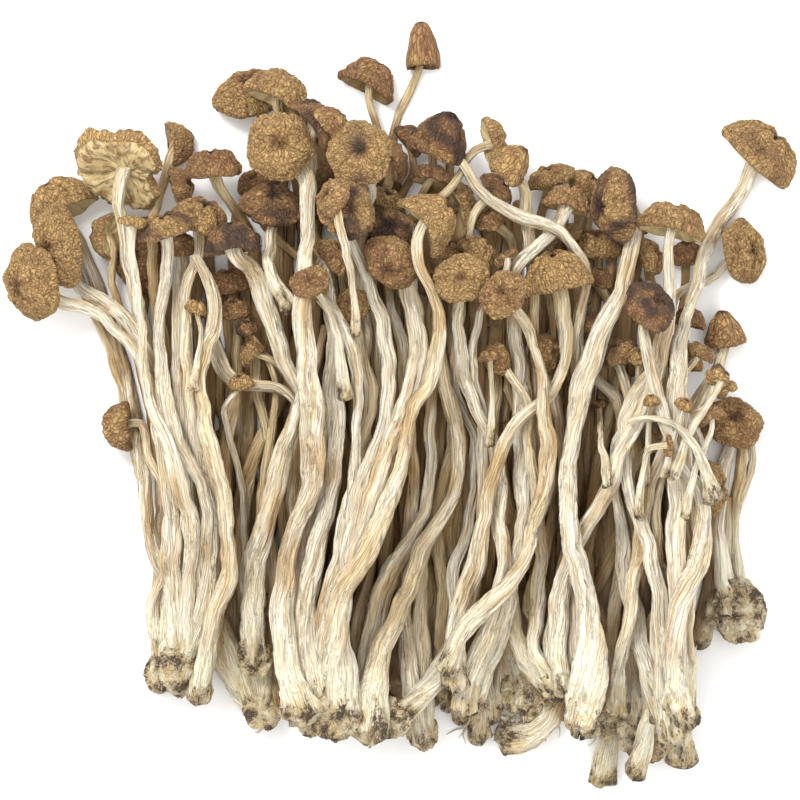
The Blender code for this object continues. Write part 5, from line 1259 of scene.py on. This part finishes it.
def cap_surface(body, mushroom, neck, seed, cell, finish, shade):
    """One cap: its own form, with lumps, a rolled rim, and its skin's folds standing out of its surface.

    The folds are noise on a cone whose circles grow towards the rim, so they run from the crown to the rim,
    and the skin is drawn into a pit at the crown. It rolls over the rim; fine gills run from there to the
    stem.
    """
    half = mushroom[3]
    torn = mushroom[0] == "torn"
    skin_under = TORN_SKIN_UNDER if torn else SKIN_UNDER
    rows_over = max(int(PROFILE_OVER * half / cell), FEWEST_OVER)
    rows_under = max(int(PROFILE_UNDER * half / cell), FEWEST_UNDER)
    columns = max(int(2 * math.pi * half / cell), FEWEST_COLUMNS)
    down_under = RIM + (LAST_ROW - RIM) * np.linspace(0, 1, rows_under + 1)[1:]
    down = np.concatenate([np.linspace(FIRST_ROW, RIM, rows_over), down_under])
    around = np.linspace(0, 2 * math.pi, columns, endpoint=False)
    down, around = np.meshgrid(down, around, indexing="ij")
    base = cap_points(mushroom, down, around, seed)
    over = np.clip(down / RIM, 0, 1)
    under = np.clip((down - RIM) / (1 - RIM), 0, 1)
    rolled = TORN_ROLL * (1 + TORN_UNEVEN * np.cos(around - seed)) if torn else ROLL
    roll = half * np.sin(math.pi * under ** ROLL_EARLY) * rolled
    base = base - roll[..., None] * cap_axes(*mushroom[4:6])[2]
    ring = half / FOLD_AROUND * (CROWN_RING + (1 - CROWN_RING) * over) * (1 - 0.5 * under)
    spots = wrapped(around, ring, (over * FOLDS_OVER + under * FOLDS_UNDER) * half, FOLD_DOWN) + seed * 7.3
    fold = (1 - FINE_FOLDS) * folds(spots, FOLD_SALT) + FINE_FOLDS * folds(spots * FINER, FINE_FOLD_SALT)
    lumps = swells(base / (CAP_LUMP_WIDTH * half) + 1.7 * seed, CAP_LUMP_SALT)
    if torn:
        lumps = TORN_BROAD * lumps + TORN_NARROW * swells(base / (TORN_LUMP_WIDTH * half), TORN_LUMP_SALT)
    gills = 0.5 + 0.5 * np.cos(around * round(half * GILLS_A_MM))
    pit = np.exp(-(over / PIT_WIDTH) ** 2)
    to_rim = half * (BEAD_OVER * (1 - over) + BEAD_UNDER * under)
    bead = BEAD * min(1.0, half / FULL_BEAD_AT) * np.exp(-(to_rim / BEAD_WIDTH) ** 2)
    skin = np.exp(-(half * under / (SKIN_FADES * skin_under)) ** 2)
    from_crown = 0.5 + 0.5 * np.clip(over * DEEPENING, 0, 1)
    rise = skin * FOLD * min(1.0, half / FULL_FOLD_AT) * (fold - LEVEL_FOLD) * from_crown
    rise = rise + bead - PIT_SHARE * FOLD * pit + (1 - skin) * GILL * gills
    rise = rise + (TORN_LUMP if torn else CAP_LUMP) * half * lumps
    out = neck + base + normals_of(base) * rise[..., None]
    paint = paint_on(
        out,
        crease=np.where(down <= RIM, fold, fold * skin + gills * (1 - skin)),
        spread=over,
        patch=patches(base / (CAP_PATCH_WIDTH * half) + 3.3 * seed),
        tone=finish[0],
        stain=finish[1],
        foot=under,
        deep=shade.at(out),
        grain=spots,
    )
    rows = np.concatenate([[0.0], under[:, 0]])
    body.add(pressed_flat(out), (half * rows > skin_under).astype(int), paint)


def stem_surface(body, points, width, capped, seed, hidden, finish, shade):
    """One stem: an uneven, flattened round carried along its smooth path, shrivelled into strands.

    The grooves between the strands are noise that is long along the stem and sways round it. The stem flares
    under its cap and ends in a lumpy, torn foot; both ends are drawn in.
    """
    path, radius, at = smooth_path(points, width, HIDDEN_RING_STEP if hidden else RING_STEP, seed)
    first, second, ahead = carried_frames(path)
    to_foot = at[-1] - at
    slim = SLIM_NECK + (SLIM_FOOT - SLIM_NECK) * at / at[-1]
    waists = np.sin(at / WAIST_LENGTHS[0] + seed) * np.sin(at / WAIST_LENGTHS[1] + 2 * seed)
    radius = slim * radius * (1 + WAIST * waists)
    if capped:
        radius = radius * (1 + NECK_FLARE * np.exp(-(at / NECK_FLARE_LENGTH) ** 2))
    radius = radius * (1 + FOOT_SWELL * np.exp(-(to_foot / FOOT_SWELL_LENGTH) ** 2))
    turn = np.linspace(0, math.pi / 2, END_RINGS + 1)[1:]
    rows = np.concatenate([[0] * END_RINGS, np.arange(len(at)), [len(at) - 1] * END_RINGS])
    narrow = np.concatenate([np.cos(turn)[::-1] + TIP, np.ones(len(at)), np.cos(turn) + TIP])
    before = -(CAPPED_BEYOND if capped else BARE_BEYOND) * np.sin(turn)[::-1]
    beyond = np.concatenate([before, np.zeros(len(at)), FOOT_BEYOND * np.sin(turn)]) * radius[rows]
    around = np.linspace(0, 2 * math.pi, HIDDEN_STEM_AROUND if hidden else STEM_AROUND, endpoint=False)
    place, around = np.meshgrid(at[rows] + beyond, around, indexing="ij")
    turned = around + place / TWIST * 2 * math.pi + SWAY_BY * np.sin(place / SWAY + seed) + seed
    ring = wrapped(turned, GROOVES_AROUND, place, GROOVE_LENGTH) + seed * 3.1
    fine = FINE_STRANDS * folds(ring * FINER_STRANDS, FINE_STRAND_SALT)
    strand = (1 - FINE_STRANDS) * folds(ring, FOLD_SALT) + fine
    flat = np.cos(2 * turned + 0.7 * seed + place / FLAT_TURN)
    three = THREE_SHARE * np.cos(3 * turned - place / THREE_TURN + seed)
    ribs = np.cos(5 * turned + place / FIVE_TURN) + three
    near_foot = np.exp(-(np.maximum(at[-1] - place, 0) / FOOT_LENGTH) ** 2)
    knobs = swells(wrapped(around, KNOBS_AROUND, place, KNOB_LENGTH) + seed, KNOB_SALT)
    ragged = 0.5 * swells(wrapped(around, RAGGED_AROUND, place, RAGGED_LENGTH) + seed, RAGGED_SALT)
    swell = FLAT * flat + RIB * ribs + GROOVE * (strand - LEVEL_STRAND) * 2
    swell = swell + near_foot * (KNOB * knobs + RAGGED * ragged)
    out_by = (radius[rows] * narrow)[:, None] * (1 + swell)
    push = beyond[:, None] * (1 + near_foot * RAGGED_BEYOND * ragged)
    grid = path[rows][:, None] + outward(around, first[rows], second[rows]) * out_by[..., None]
    grid = grid + ahead[rows][:, None] * push[..., None]
    paint = paint_on(
        grid,
        crease=strand,
        spread=np.clip(place / NECK_COLOUR, 0, 1),
        patch=patches(ring * np.array(STEM_PATCHES) + 40),
        tone=finish[2],
        stain=0.0,
        foot=np.clip(1 - (at[-1] - place) / FOOT_DIRT, 0, 1),
        deep=shade.at(grid),
        grain=wrapped(turned, out_by, place, 1.0) + seed * 13.7,
    )
    body.add(pressed_flat(grid), STEM_SLOT, paint)


def foot_surface(body, foot, foot_z, number, finish, shade):
    """The foot that a tuft's stems share: a flattened ball with lumps, grit and pits between them."""
    x, y, half = foot
    rows, columns = FOOT_GRID
    down = np.linspace(FOOT_POLE, math.pi - FOOT_POLE, rows)
    around = np.linspace(0, 2 * math.pi, columns, endpoint=False)
    down, around = np.meshgrid(down, around, indexing="ij")
    ball = np.stack([np.sin(down) * np.cos(around), np.sin(down) * np.sin(around), np.cos(down)], axis=-1)
    pits = folds(ball * PITS[1] + number, FOOT_PIT_SALT)
    lumps = LUMPS[0] * swells(ball * LUMPS[1] + number, FOOT_LUMP_SALT) + PITS[0] * (pits - LEVEL_PIT)
    lumps = lumps + GRIT[0] * swells(ball * GRIT[1] + number, FOOT_GRIT_SALT)
    size = np.array([half, half * FOOT_LONG, half * FOOT_FLATNESS])
    out = np.array([x, y, foot_z]) + ball * size * (1.0 + lumps)[..., None]
    paint = paint_on(
        out,
        crease=pits,
        spread=1.0,
        patch=patches(ball * FOOT_PATCHES + number),
        tone=finish[2],
        stain=0.0,
        foot=1.0,
        deep=shade.at(out),
        grain=ball * half + number,
    )
    body.add(pressed_flat(out), STEM_SLOT, paint)


def rootlets(body, name, seed, shade):
    """Thin curling roots that grow out of a foot: each swings aside as it goes and thins to its tip."""
    x, y, z, count, longest = ROOTS[name]
    aside, ahead = ROOT_SPREAD
    dice = np.random.default_rng(seed)
    for number in range(count):
        turn = dice.uniform(*ROOT_TURNS)
        length = dice.uniform(*ROOT_LENGTHS) * longest
        share = np.linspace(0, length, ROOT_RINGS) / length
        bend = dice.uniform(*ROOT_BENDS) * share ** 1.5
        heading = turn + bend + ROOT_WIGGLE * np.sin(share * length / dice.uniform(*ROOT_WIGGLE_LENGTHS))
        step = length / ROOT_RINGS
        start = np.array([x + dice.uniform(-aside, aside), y + dice.uniform(-ahead, ahead), z])
        sink = -(z - ROOT_ENDS_AT) * share ** 0.6 + ROOT_RISE * np.sin(share * 6 + number)
        run = [np.cumsum(np.cos(heading)) * step, np.cumsum(np.sin(heading)) * step, sink]
        path = start + np.stack(run, axis=-1)
        path[:, 2] = np.maximum(path[:, 2], ROOT_LOWEST)
        first, second, _ = carried_frames(path)
        radius = dice.uniform(*ROOT_HALVES) * ROOT_HALF * (1 - ROOT_THINS * share)
        around = np.linspace(0, 2 * math.pi, ROOT_AROUND, endpoint=False)
        grid = path[:, None] + outward(around[None], first, second) * radius[:, None, None]
        paint = paint_on(grid, **ROOT_PAINT, deep=ROOT_SHADE * shade.at(grid), grain=grid + seed)
        body.add(pressed_flat(grid), STEM_SLOT, paint)


class Value:
    """A number that a material works out. Its operators add Math nodes."""

    def __init__(self, tree, socket):
        self.tree, self.socket = tree, socket

    def math(self, operation, first, second):
        """A Math node on two numbers, each a Value or a plain number."""
        node = self.tree.nodes.new("ShaderNodeMath")
        node.operation = operation
        for slot, item in zip(node.inputs, (first, second)):
            if isinstance(item, Value):
                self.tree.links.new(item.socket, slot)
            else:
                slot.default_value = item
        return Value(self.tree, node.outputs[0])

    def __add__(self, other):
        return self.math("ADD", self, other)

    def __radd__(self, other):
        return self.math("ADD", other, self)

    def __sub__(self, other):
        return self.math("SUBTRACT", self, other)

    def __rsub__(self, other):
        return self.math("SUBTRACT", other, self)

    def __mul__(self, other):
        return self.math("MULTIPLY", self, other)

    def __rmul__(self, other):
        return self.math("MULTIPLY", other, self)

    def __pow__(self, other):
        return self.math("POWER", self, other)


class Finish:
    """A material under the brush: its nodes, the values painted on the pieces, and its shader."""

    def __init__(self, name):
        self.material = bpy.data.materials.new(name)
        self.material.use_nodes = True
        self.tree = self.material.node_tree
        self.shader = self.tree.nodes["Principled BSDF"]
        self.shader.inputs["Metallic"].default_value = 0.0

    def node(self, kind, settings, inputs):
        """Any node: its settings first, then the values or links of its sockets. Gives its outputs."""
        node = self.tree.nodes.new(kind)
        for name, setting in settings.items():
            setattr(node, name, setting)
        for name, item in inputs.items():
            self.feed(node.inputs[name], item)
        return node.outputs

    def feed(self, socket, item):
        """Link a Value or a socket to a socket, or set its plain value."""
        if isinstance(item, Value):
            self.tree.links.new(item.socket, socket)
        elif isinstance(item, bpy.types.NodeSocket):
            self.tree.links.new(item, socket)
        else:
            socket.default_value = item

    def painted(self, name):
        """A number painted on the pieces."""
        return Value(self.tree, self.node("ShaderNodeAttribute", {"attribute_name": name}, {})["Fac"])

    def grain(self, stretch):
        """The place painted on the pieces, with each of its three ways scaled."""
        spot = self.node("ShaderNodeAttribute", {"attribute_name": "grain"}, {})["Vector"]
        return self.node("ShaderNodeVectorMath", {"operation": "MULTIPLY"}, {0: spot, 1: stretch})["Vector"]

    def bent(self, place, scale, by):
        """The place moved about by noise."""
        cloud = self.node("ShaderNodeTexNoise", {}, {"Vector": place, "Scale": scale, "Detail": 1.0})["Color"]
        moved = {0: cloud, 1: (by, by, by), 2: place}
        return self.node("ShaderNodeVectorMath", {"operation": "MULTIPLY_ADD"}, moved)["Vector"]

    def pebbles(self, place, scale):
        """0 in the creases between rounded parts, and about 0.4 in their middles."""
        edges = {"feature": "DISTANCE_TO_EDGE"}
        made = self.node("ShaderNodeTexVoronoi", edges, {"Vector": place, "Scale": scale})
        return Value(self.tree, made["Distance"])

    def noise(self, place, scale, detail, roughness=0.55):
        """Cloudy noise from 0 to 1."""
        inputs = {"Vector": place, "Scale": scale, "Detail": detail, "Roughness": roughness}
        return Value(self.tree, self.node("ShaderNodeTexNoise", {}, inputs)["Fac"])

    def creases(self, place, scale, detail, width):
        """Narrow lines at 0 between parts at 1: they lie where noise crosses its middle."""
        off = self.noise(place, scale, detail) - 0.5
        return self.rising(off.math("ABSOLUTE", off, 0.0), 0.0, width)

    def rising(self, value, low, high):
        """0 up to low, 1 from high, and smooth between."""
        inputs = {"Value": value, "From Min": low, "From Max": high}
        made = self.node("ShaderNodeMapRange", {"interpolation_type": "SMOOTHSTEP"}, inputs)
        return Value(self.tree, made["Result"])

    def falling(self, value, low, high):
        """1 up to low, 0 from high, and smooth between."""
        return 1 - self.rising(value, low, high)

    def blend(self, mask, first, second):
        """The first colour where the mask is 0 and the second where it is 1."""
        made = self.node("ShaderNodeMix", {"data_type": "RGBA"}, {})[0].node
        self.feed(made.inputs["Factor"], mask)
        self.feed(made.inputs[6], first)
        self.feed(made.inputs[7], second)
        return made.outputs[2]

    def layered(self, colour, *layers):
        """Colours laid over the first one in turn, each with the mask that says where it shows."""
        for mask, over in layers:
            colour = self.blend(mask, colour, over)
        return colour

    def done(self, colour, roughness, height, distance, strength):
        """Feed the shader: colour, roughness and a bump of the height over the distance in metres."""
        self.feed(self.shader.inputs["Base Color"], colour)
        self.feed(self.shader.inputs["Roughness"], roughness)
        bump = self.node("ShaderNodeBump", {}, {"Height": height, "Distance": distance, "Strength": strength})
        self.feed(self.shader.inputs["Normal"], bump["Normal"])
        return self.material


# How far the places of a cap's wrinkles are moved by noise, as painted, and how fine that noise is
CAP_BEND_BY = 0.9
CAP_BEND = 1.3

# How fine each noise and each kind of crease of a material is: the more, the finer
CAP_WRINKLES = 1.85
CAP_SMALL_WRINKLES = 4.3
CAP_GRAIN = 12.0
CAP_CLOUDS = 0.5
UNDER_CLOUDS = 0.8
UNDER_LINES = 6.0
UNDER_TORN = 1.3
STEM_STREAKS = 0.6
STEM_FIBRES = 4.6
STEM_GROOVES = 0.8
STEM_THREADS = 1.9
FOOT_CLOUDS = 0.4
FOOT_CLUSTERS = 0.28
FOOT_SPECKS = 2.2

# How the places for a noise are scaled along a stem or a gill, so that it runs long; and as they are
AS_PAINTED = (1.0, 1.0, 1.0)
SQUARE_ON = (1.0, 1.0, 1.7)
ALONG_GILLS = (1.0, 1.0, 0.25)
ALONG_FIBRES = (1.0, 1.0, 0.05)
ALONG_STREAKS = (1.0, 1.0, 0.08)
ALONG_FOOT = (1.0, 1.0, 0.6)

# How deep the relief of the three materials is, in metres
CAP_RELIEF = 0.0014
UNDER_RELIEF = 0.0003
STEM_RELIEF = 0.0005


def cap_skin():
    """Dull brown skin with purple-black stains, a painted highlight on its folds, painted shade in its
    creases and where it lies deep in the pile, and a middle that is darker of itself and has painted shade in
    its pit.
    """
    f = Finish("cap_skin")
    crease, tone, patch, deep = (f.painted(name) for name in ("crease", "tone", "patch", "deep"))
    place = f.grain(AS_PAINTED)
    bent = f.bent(f.grain(SQUARE_ON), CAP_BEND, CAP_BEND_BY)
    wrinkle = f.pebbles(bent, CAP_WRINKLES)
    small = f.pebbles(bent, CAP_SMALL_WRINKLES)
    fine = f.noise(place, CAP_GRAIN, 3.0, 0.6)
    wide = f.noise(place, CAP_CLOUDS, 2.0)
    base = f.blend(f.rising(wide + patch * 0.5 + tone, 0.80, 1.5), CAP_TAN, CAP_BROWN)
    # Where the folds stand highest, which gets the painted highlight
    ridge_highlight = f.rising(wrinkle * 1.2 + crease * 0.4 + small * 0.6 + fine * 0.4, 0.65, 1.55)
    middle = f.falling(f.painted("spread"), 0.02, 0.24)
    stained = f.rising(f.painted("stain") * (patch * 1.2 + middle * 0.6), 0.25, 0.8)
    colour = f.layered(
        base,
        # Painted highlight on the ridges of the folds, weaker on darker caps
        (ridge_highlight * (0.42 - 0.3 * tone), CAP_RIDGE_HIGHLIGHT),
        # Painted shade in the creases of the folds and of the wrinkles, large and small
        (f.falling(crease, 0.05, 0.70) * 0.75, CAP_SHADE_AND_DARK_SKIN),
        (f.falling(wrinkle, 0.0, 0.15) * 0.5, CAP_SHADE_AND_DARK_SKIN),
        (f.falling(small, 0.0, 0.18) * 0.14, CAP_SHADE_AND_DARK_SKIN),
        # A darker middle: partly the skin's own colour there, partly painted shade in the pit at the crown
        (middle * 0.6, CAP_SHADE_AND_DARK_SKIN),
        (stained * 0.85, CAP_BLOTCH),
        # Painted shade where the cap lies deep in the pile
        (deep * 0.6, PAINTED_SHADE_BROWN),
    )
    relief = wrinkle ** 0.5 + small ** 0.5 * 0.35 + fine * 0.12
    return f.done(colour, 0.62 + 0.2 * fine, relief, CAP_RELIEF, 1.0)


def cap_underside():
    """Smooth olive-cream flesh with lines from the rim to the stem, browner where it is dark or torn, and
    with painted shade where it lies deep in the pile.
    """
    f = Finish("cap_underside")
    place = f.grain(ALONG_GILLS)
    soft = f.noise(place, UNDER_CLOUDS, 3.0)
    lines = f.noise(place, UNDER_LINES, 2.0)
    torn = f.noise(f.grain(AS_PAINTED), UNDER_TORN, 3.0, 0.65)
    browner = f.rising(soft + f.painted("tone") * 0.5 - f.painted("foot") * 0.2, 0.35, 0.75)
    colour = f.layered(
        UNDER_OLIVE,
        (browner, UNDER_BROWN),
        (f.falling(lines, 0.3, 0.6) * 0.35, UNDER_BROWN),
        (f.rising(f.painted("stain") * 0.5 + torn, 0.72, 0.95) * 0.8, CAP_SHADE_AND_DARK_SKIN),
        # Painted shade where the underside lies deep in the pile
        (f.painted("deep") * 0.85, PAINTED_SHADE_BROWN),
    )
    return f.done(colour, 0.75 + 0.1 * soft, lines, UNDER_RELIEF, 0.5)


def stem_flesh():
    """Pale dry strands with tan and golden patches and painted shade in their grooves, a foot with ochre and
    dirt, and painted shade, golden then brown, where they lie deep in the pile.
    """
    f = Finish("stem_flesh")
    crease, tone, patch, deep = (f.painted(name) for name in ("crease", "tone", "patch", "deep"))
    foot = f.painted("foot")
    place = f.grain(ALONG_FIBRES)
    streak = f.noise(f.grain(ALONG_STREAKS), STEM_STREAKS, 3.0)
    fibre = f.noise(place, STEM_FIBRES, 3.0, 0.65)
    groove = f.creases(place, STEM_GROOVES, 1.0, 0.06)
    thread = f.creases(place, STEM_THREADS, 1.0, 0.05)
    spot = f.grain(ALONG_FOOT)
    cloud = f.noise(spot, FOOT_CLOUDS, 4.0)
    cluster = f.noise(spot, FOOT_CLUSTERS, 2.0)
    speck = f.noise(spot, FOOT_SPECKS, 3.0, 0.7)
    colour = f.layered(
        STEM_CREAM,
        (f.rising(streak + 0.5 * tone, 0.42, 0.80), STEM_TAN),
        (f.rising(patch * 0.6 + fibre * 0.6 + tone * 0.35, 0.72, 0.98) * 0.75, STEM_GOLD),
        (f.falling(fibre, 0.34, 0.52) * 0.55, STEM_TAN),
        # Painted shade in the grooves and threads between the strands, and in the creases and pits
        ((1 - groove) * 0.28, STEM_CREASE_SHADE),
        ((1 - thread) * 0.2, STEM_CREASE_SHADE),
        (f.falling(crease, 0.0, 0.40) * 0.62, STEM_CREASE_SHADE),
        (f.rising(foot, 0.0, 0.7) * 0.7, FOOT_PALE),
        (f.rising(foot * 0.5 + cloud, 0.78, 1.14) * 0.65, FOOT_OCHRE),
        (f.rising(foot * 0.9 + cluster * 0.9, 1.15, 1.50) * 0.75, FOOT_DIRT_BROWN),
        (f.rising(foot * 0.55 + cluster * 0.8 + speck * 0.7, 1.28, 1.42) * 0.9, FOOT_DARK),
        # Painted shade where the stem lies deep in the pile: golden at first, then brown
        (f.rising(deep, 0.02, 0.35) * 0.6, STEM_GOLD),
        (deep * 0.66, PAINTED_SHADE_BROWN),
    )
    relief = groove * 0.5 + thread * 0.35 + fibre * 0.6
    return f.done(colour, 0.60 + 0.2 * fibre, relief, STEM_RELIEF, 1.0)


def young_ones(name, heights):
    """Lay a piece's young mushrooms on the pile. Gives what the laid pile gives of each mushroom."""
    pieces = []
    for place, mushroom in enumerate(YOUNG.get(name, [])):
        route, width = stem_route(mushroom)
        own = np.full(heights.shape, NOWHERE)
        seed = YOUNG_SEED + place
        points = lay_mushroom(mushroom, route, width, seed, heights, own, None)
        heights = np.maximum(heights, own)
        pieces.append((mushroom, points, width, seed))
    return pieces


def finish_of(name, place, hidden):
    """A mushroom's cap darkness, stain and stem brownness: its own, or by chance within its piece's range."""
    own = FINISH.get(name, [])
    if place < len(own):
        return own[place]
    dice = np.random.default_rng(CHANCE + CHANCE_STEP * place + sum(map(ord, name)))
    dark = dice.uniform(0.0, DARKEST) + (HIDDEN_DARKER if hidden else 0.0)
    stain = dice.uniform(*STAINS) if dice.random() < STAINED else 0.0
    return dark, stain, dice.uniform(0.0, BROWNEST) + (HIDDEN_BROWNER if hidden else 0.0)


def dress_mushroom(body, laid, hidden, finish, shade):
    """One mushroom: its cap, where it has one, and its stem, which runs up into the cap."""
    mushroom, points, width, seed = laid
    if mushroom[0]:
        cell = HIDDEN_CAP_CELL if hidden and mushroom[3] < SMALL_CAP else CAP_CELL
        cap_surface(body, mushroom, points[0], seed, cell, finish, shade)
        seat = points[0] + SEAT_SHARE * stem_seat(mushroom) * cap_axes(*mushroom[4:6])[2]
        points, width = np.vstack([seat, points]), np.append(width[0], width)
    stem_surface(body, points, width, bool(mushroom[0]), seed, hidden, finish, shade)


def low_stems(body, name, foot, number, shade):
    """A piece's thin stems that lie lowest: those with their own places, then the fan from its foot."""
    stems = LOW_STEMS.get(name, [])
    if name in LOW_FANS:
        count, left, right, top = LOW_FANS[name]
        fan = np.linspace(left, right, count)
        stems = stems + [(x, top + FAN_UNEVEN * math.sin(x), foot[0], foot[1]) for x in fan]
    down = np.linspace(0, 1, LOW_STEM_POINTS)
    for place, (x, y, foot_x, foot_y) in enumerate(stems):
        aside = x + (foot_x - x) * down + LOW_STEM_WAVE * np.sin(7 * down + place)
        points = np.stack([aside, y + (foot_y - y) * down, LOW_STEM_HEIGHT + 0 * down], axis=-1)
        seed = number + 0.37 * place
        stem_surface(body, points, LOW_STEM_HALF + 0 * down, False, seed, True, LOW_STEM_FINISH, shade)


def dress(materials):
    """Make every piece of the pile and let it stand for its solid."""
    laid, heights = lay_pile()
    shade = Shade(heights)
    for number, (name, foot, foot_z, pieces) in enumerate(laid):
        hidden = number < HIDDEN
        body = Body()
        for place, mushroom in enumerate(pieces + young_ones(name, heights)):
            finish = finish_of(name, place, hidden)
            dress_mushroom(body, mushroom, hidden, finish, shade)
        if foot:
            foot_surface(body, foot, foot_z, number, finish, shade)
        low_stems(body, name, foot, number, shade)
        for place, (x, y, z, half) in enumerate(CRUST.get(name, [])):
            lump = (foot[0] + x, foot[1] + y, half)
            foot_surface(body, lump, foot_z + z, number + 0.41 * place, finish, shade)
        if name in ROOTS:
            rootlets(body, name, number, shade)
        piece = body.finished("dried_" + name, materials)
        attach(piece, "root")
        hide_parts(name)


# Camera, light and floor, in metres: how wide the picture is at the pile, how far off the camera stands
# and what it looks at, its sensor in mm and how far it sees; the lights' places, sizes and powers, and
# the world's strength
VIEW_WIDTH = 0.200
VIEW_FROM = 4.0
VIEW_MIDDLE = (0.000037, 0.000331, 0.018)
SENSOR = 36.0
SEEN_TO = 100.0
FLOOR_SIZE = 6.0
FLOOR_ROUGHNESS = 0.9
KEY_PLACE = (-0.55, 0.75, 1.1)
KEY_SIZE = 0.45
KEY_POWER = 14.0
FILL_PLACE = (0.9, -0.3, 1.0)
FILL_SIZE = 0.9
FILL_POWER = 2.5
WORLD_WHITE = (1.0, 1.0, 1.0, 1.0)
WORLD_STRENGTH = 1.36


def floor():
    """The plain pale surface."""
    half = 0.5 * FLOOR_SIZE
    mesh = bpy.data.meshes.new("surface")
    corners = [(-half, -half, 0.0), (half, -half, 0.0), (half, half, 0.0), (-half, half, 0.0)]
    mesh.from_pydata(corners, [], [(0, 1, 2, 3)])
    plane = bpy.data.objects.new("surface", mesh)
    bpy.context.scene.collection.objects.link(plane)
    f = Finish("surface_white")
    f.shader.inputs["Base Color"].default_value = FLOOR_WHITE
    f.shader.inputs["Roughness"].default_value = FLOOR_ROUGHNESS
    mesh.materials.append(f.material)


def softbox(name, place, size, power):
    """A soft light that faces the pile."""
    light = bpy.data.lights.new(name, "AREA")
    light.shape = "SQUARE"
    light.size = size
    light.energy = power
    made = bpy.data.objects.new(name, light)
    made.location = place
    x, y, z = place
    made.rotation_euler = (math.atan2(math.hypot(x, y), z), 0.0, math.atan2(-y, -x) - math.pi / 2)
    bpy.context.scene.collection.objects.link(made)


def studio():
    """Even white light from all round, a large soft light at the upper left and a weaker one at the right."""
    world = bpy.data.worlds.new("studio")
    world.use_nodes = True
    background = world.node_tree.nodes["Background"]
    background.inputs["Color"].default_value = WORLD_WHITE
    background.inputs["Strength"].default_value = WORLD_STRENGTH
    bpy.context.scene.world = world
    softbox("key", KEY_PLACE, KEY_SIZE, KEY_POWER)
    softbox("fill", FILL_PLACE, FILL_SIZE, FILL_POWER)


def camera():
    """Straight above, with the caps at the top of the picture."""
    data = bpy.data.cameras.new("above")
    data.sensor_width = SENSOR
    data.lens = SENSOR * VIEW_FROM / VIEW_WIDTH
    data.clip_end = SEEN_TO
    made = bpy.data.objects.new("above", data)
    x, y, z = VIEW_MIDDLE
    made.location = (x, y, z + VIEW_FROM)
    bpy.context.scene.collection.objects.link(made)
    bpy.context.scene.camera = made


bpy.context.scene.view_settings.view_transform = "Standard"
camera()
studio()
floor()
dress([cap_skin(), cap_underside(), stem_flesh()])
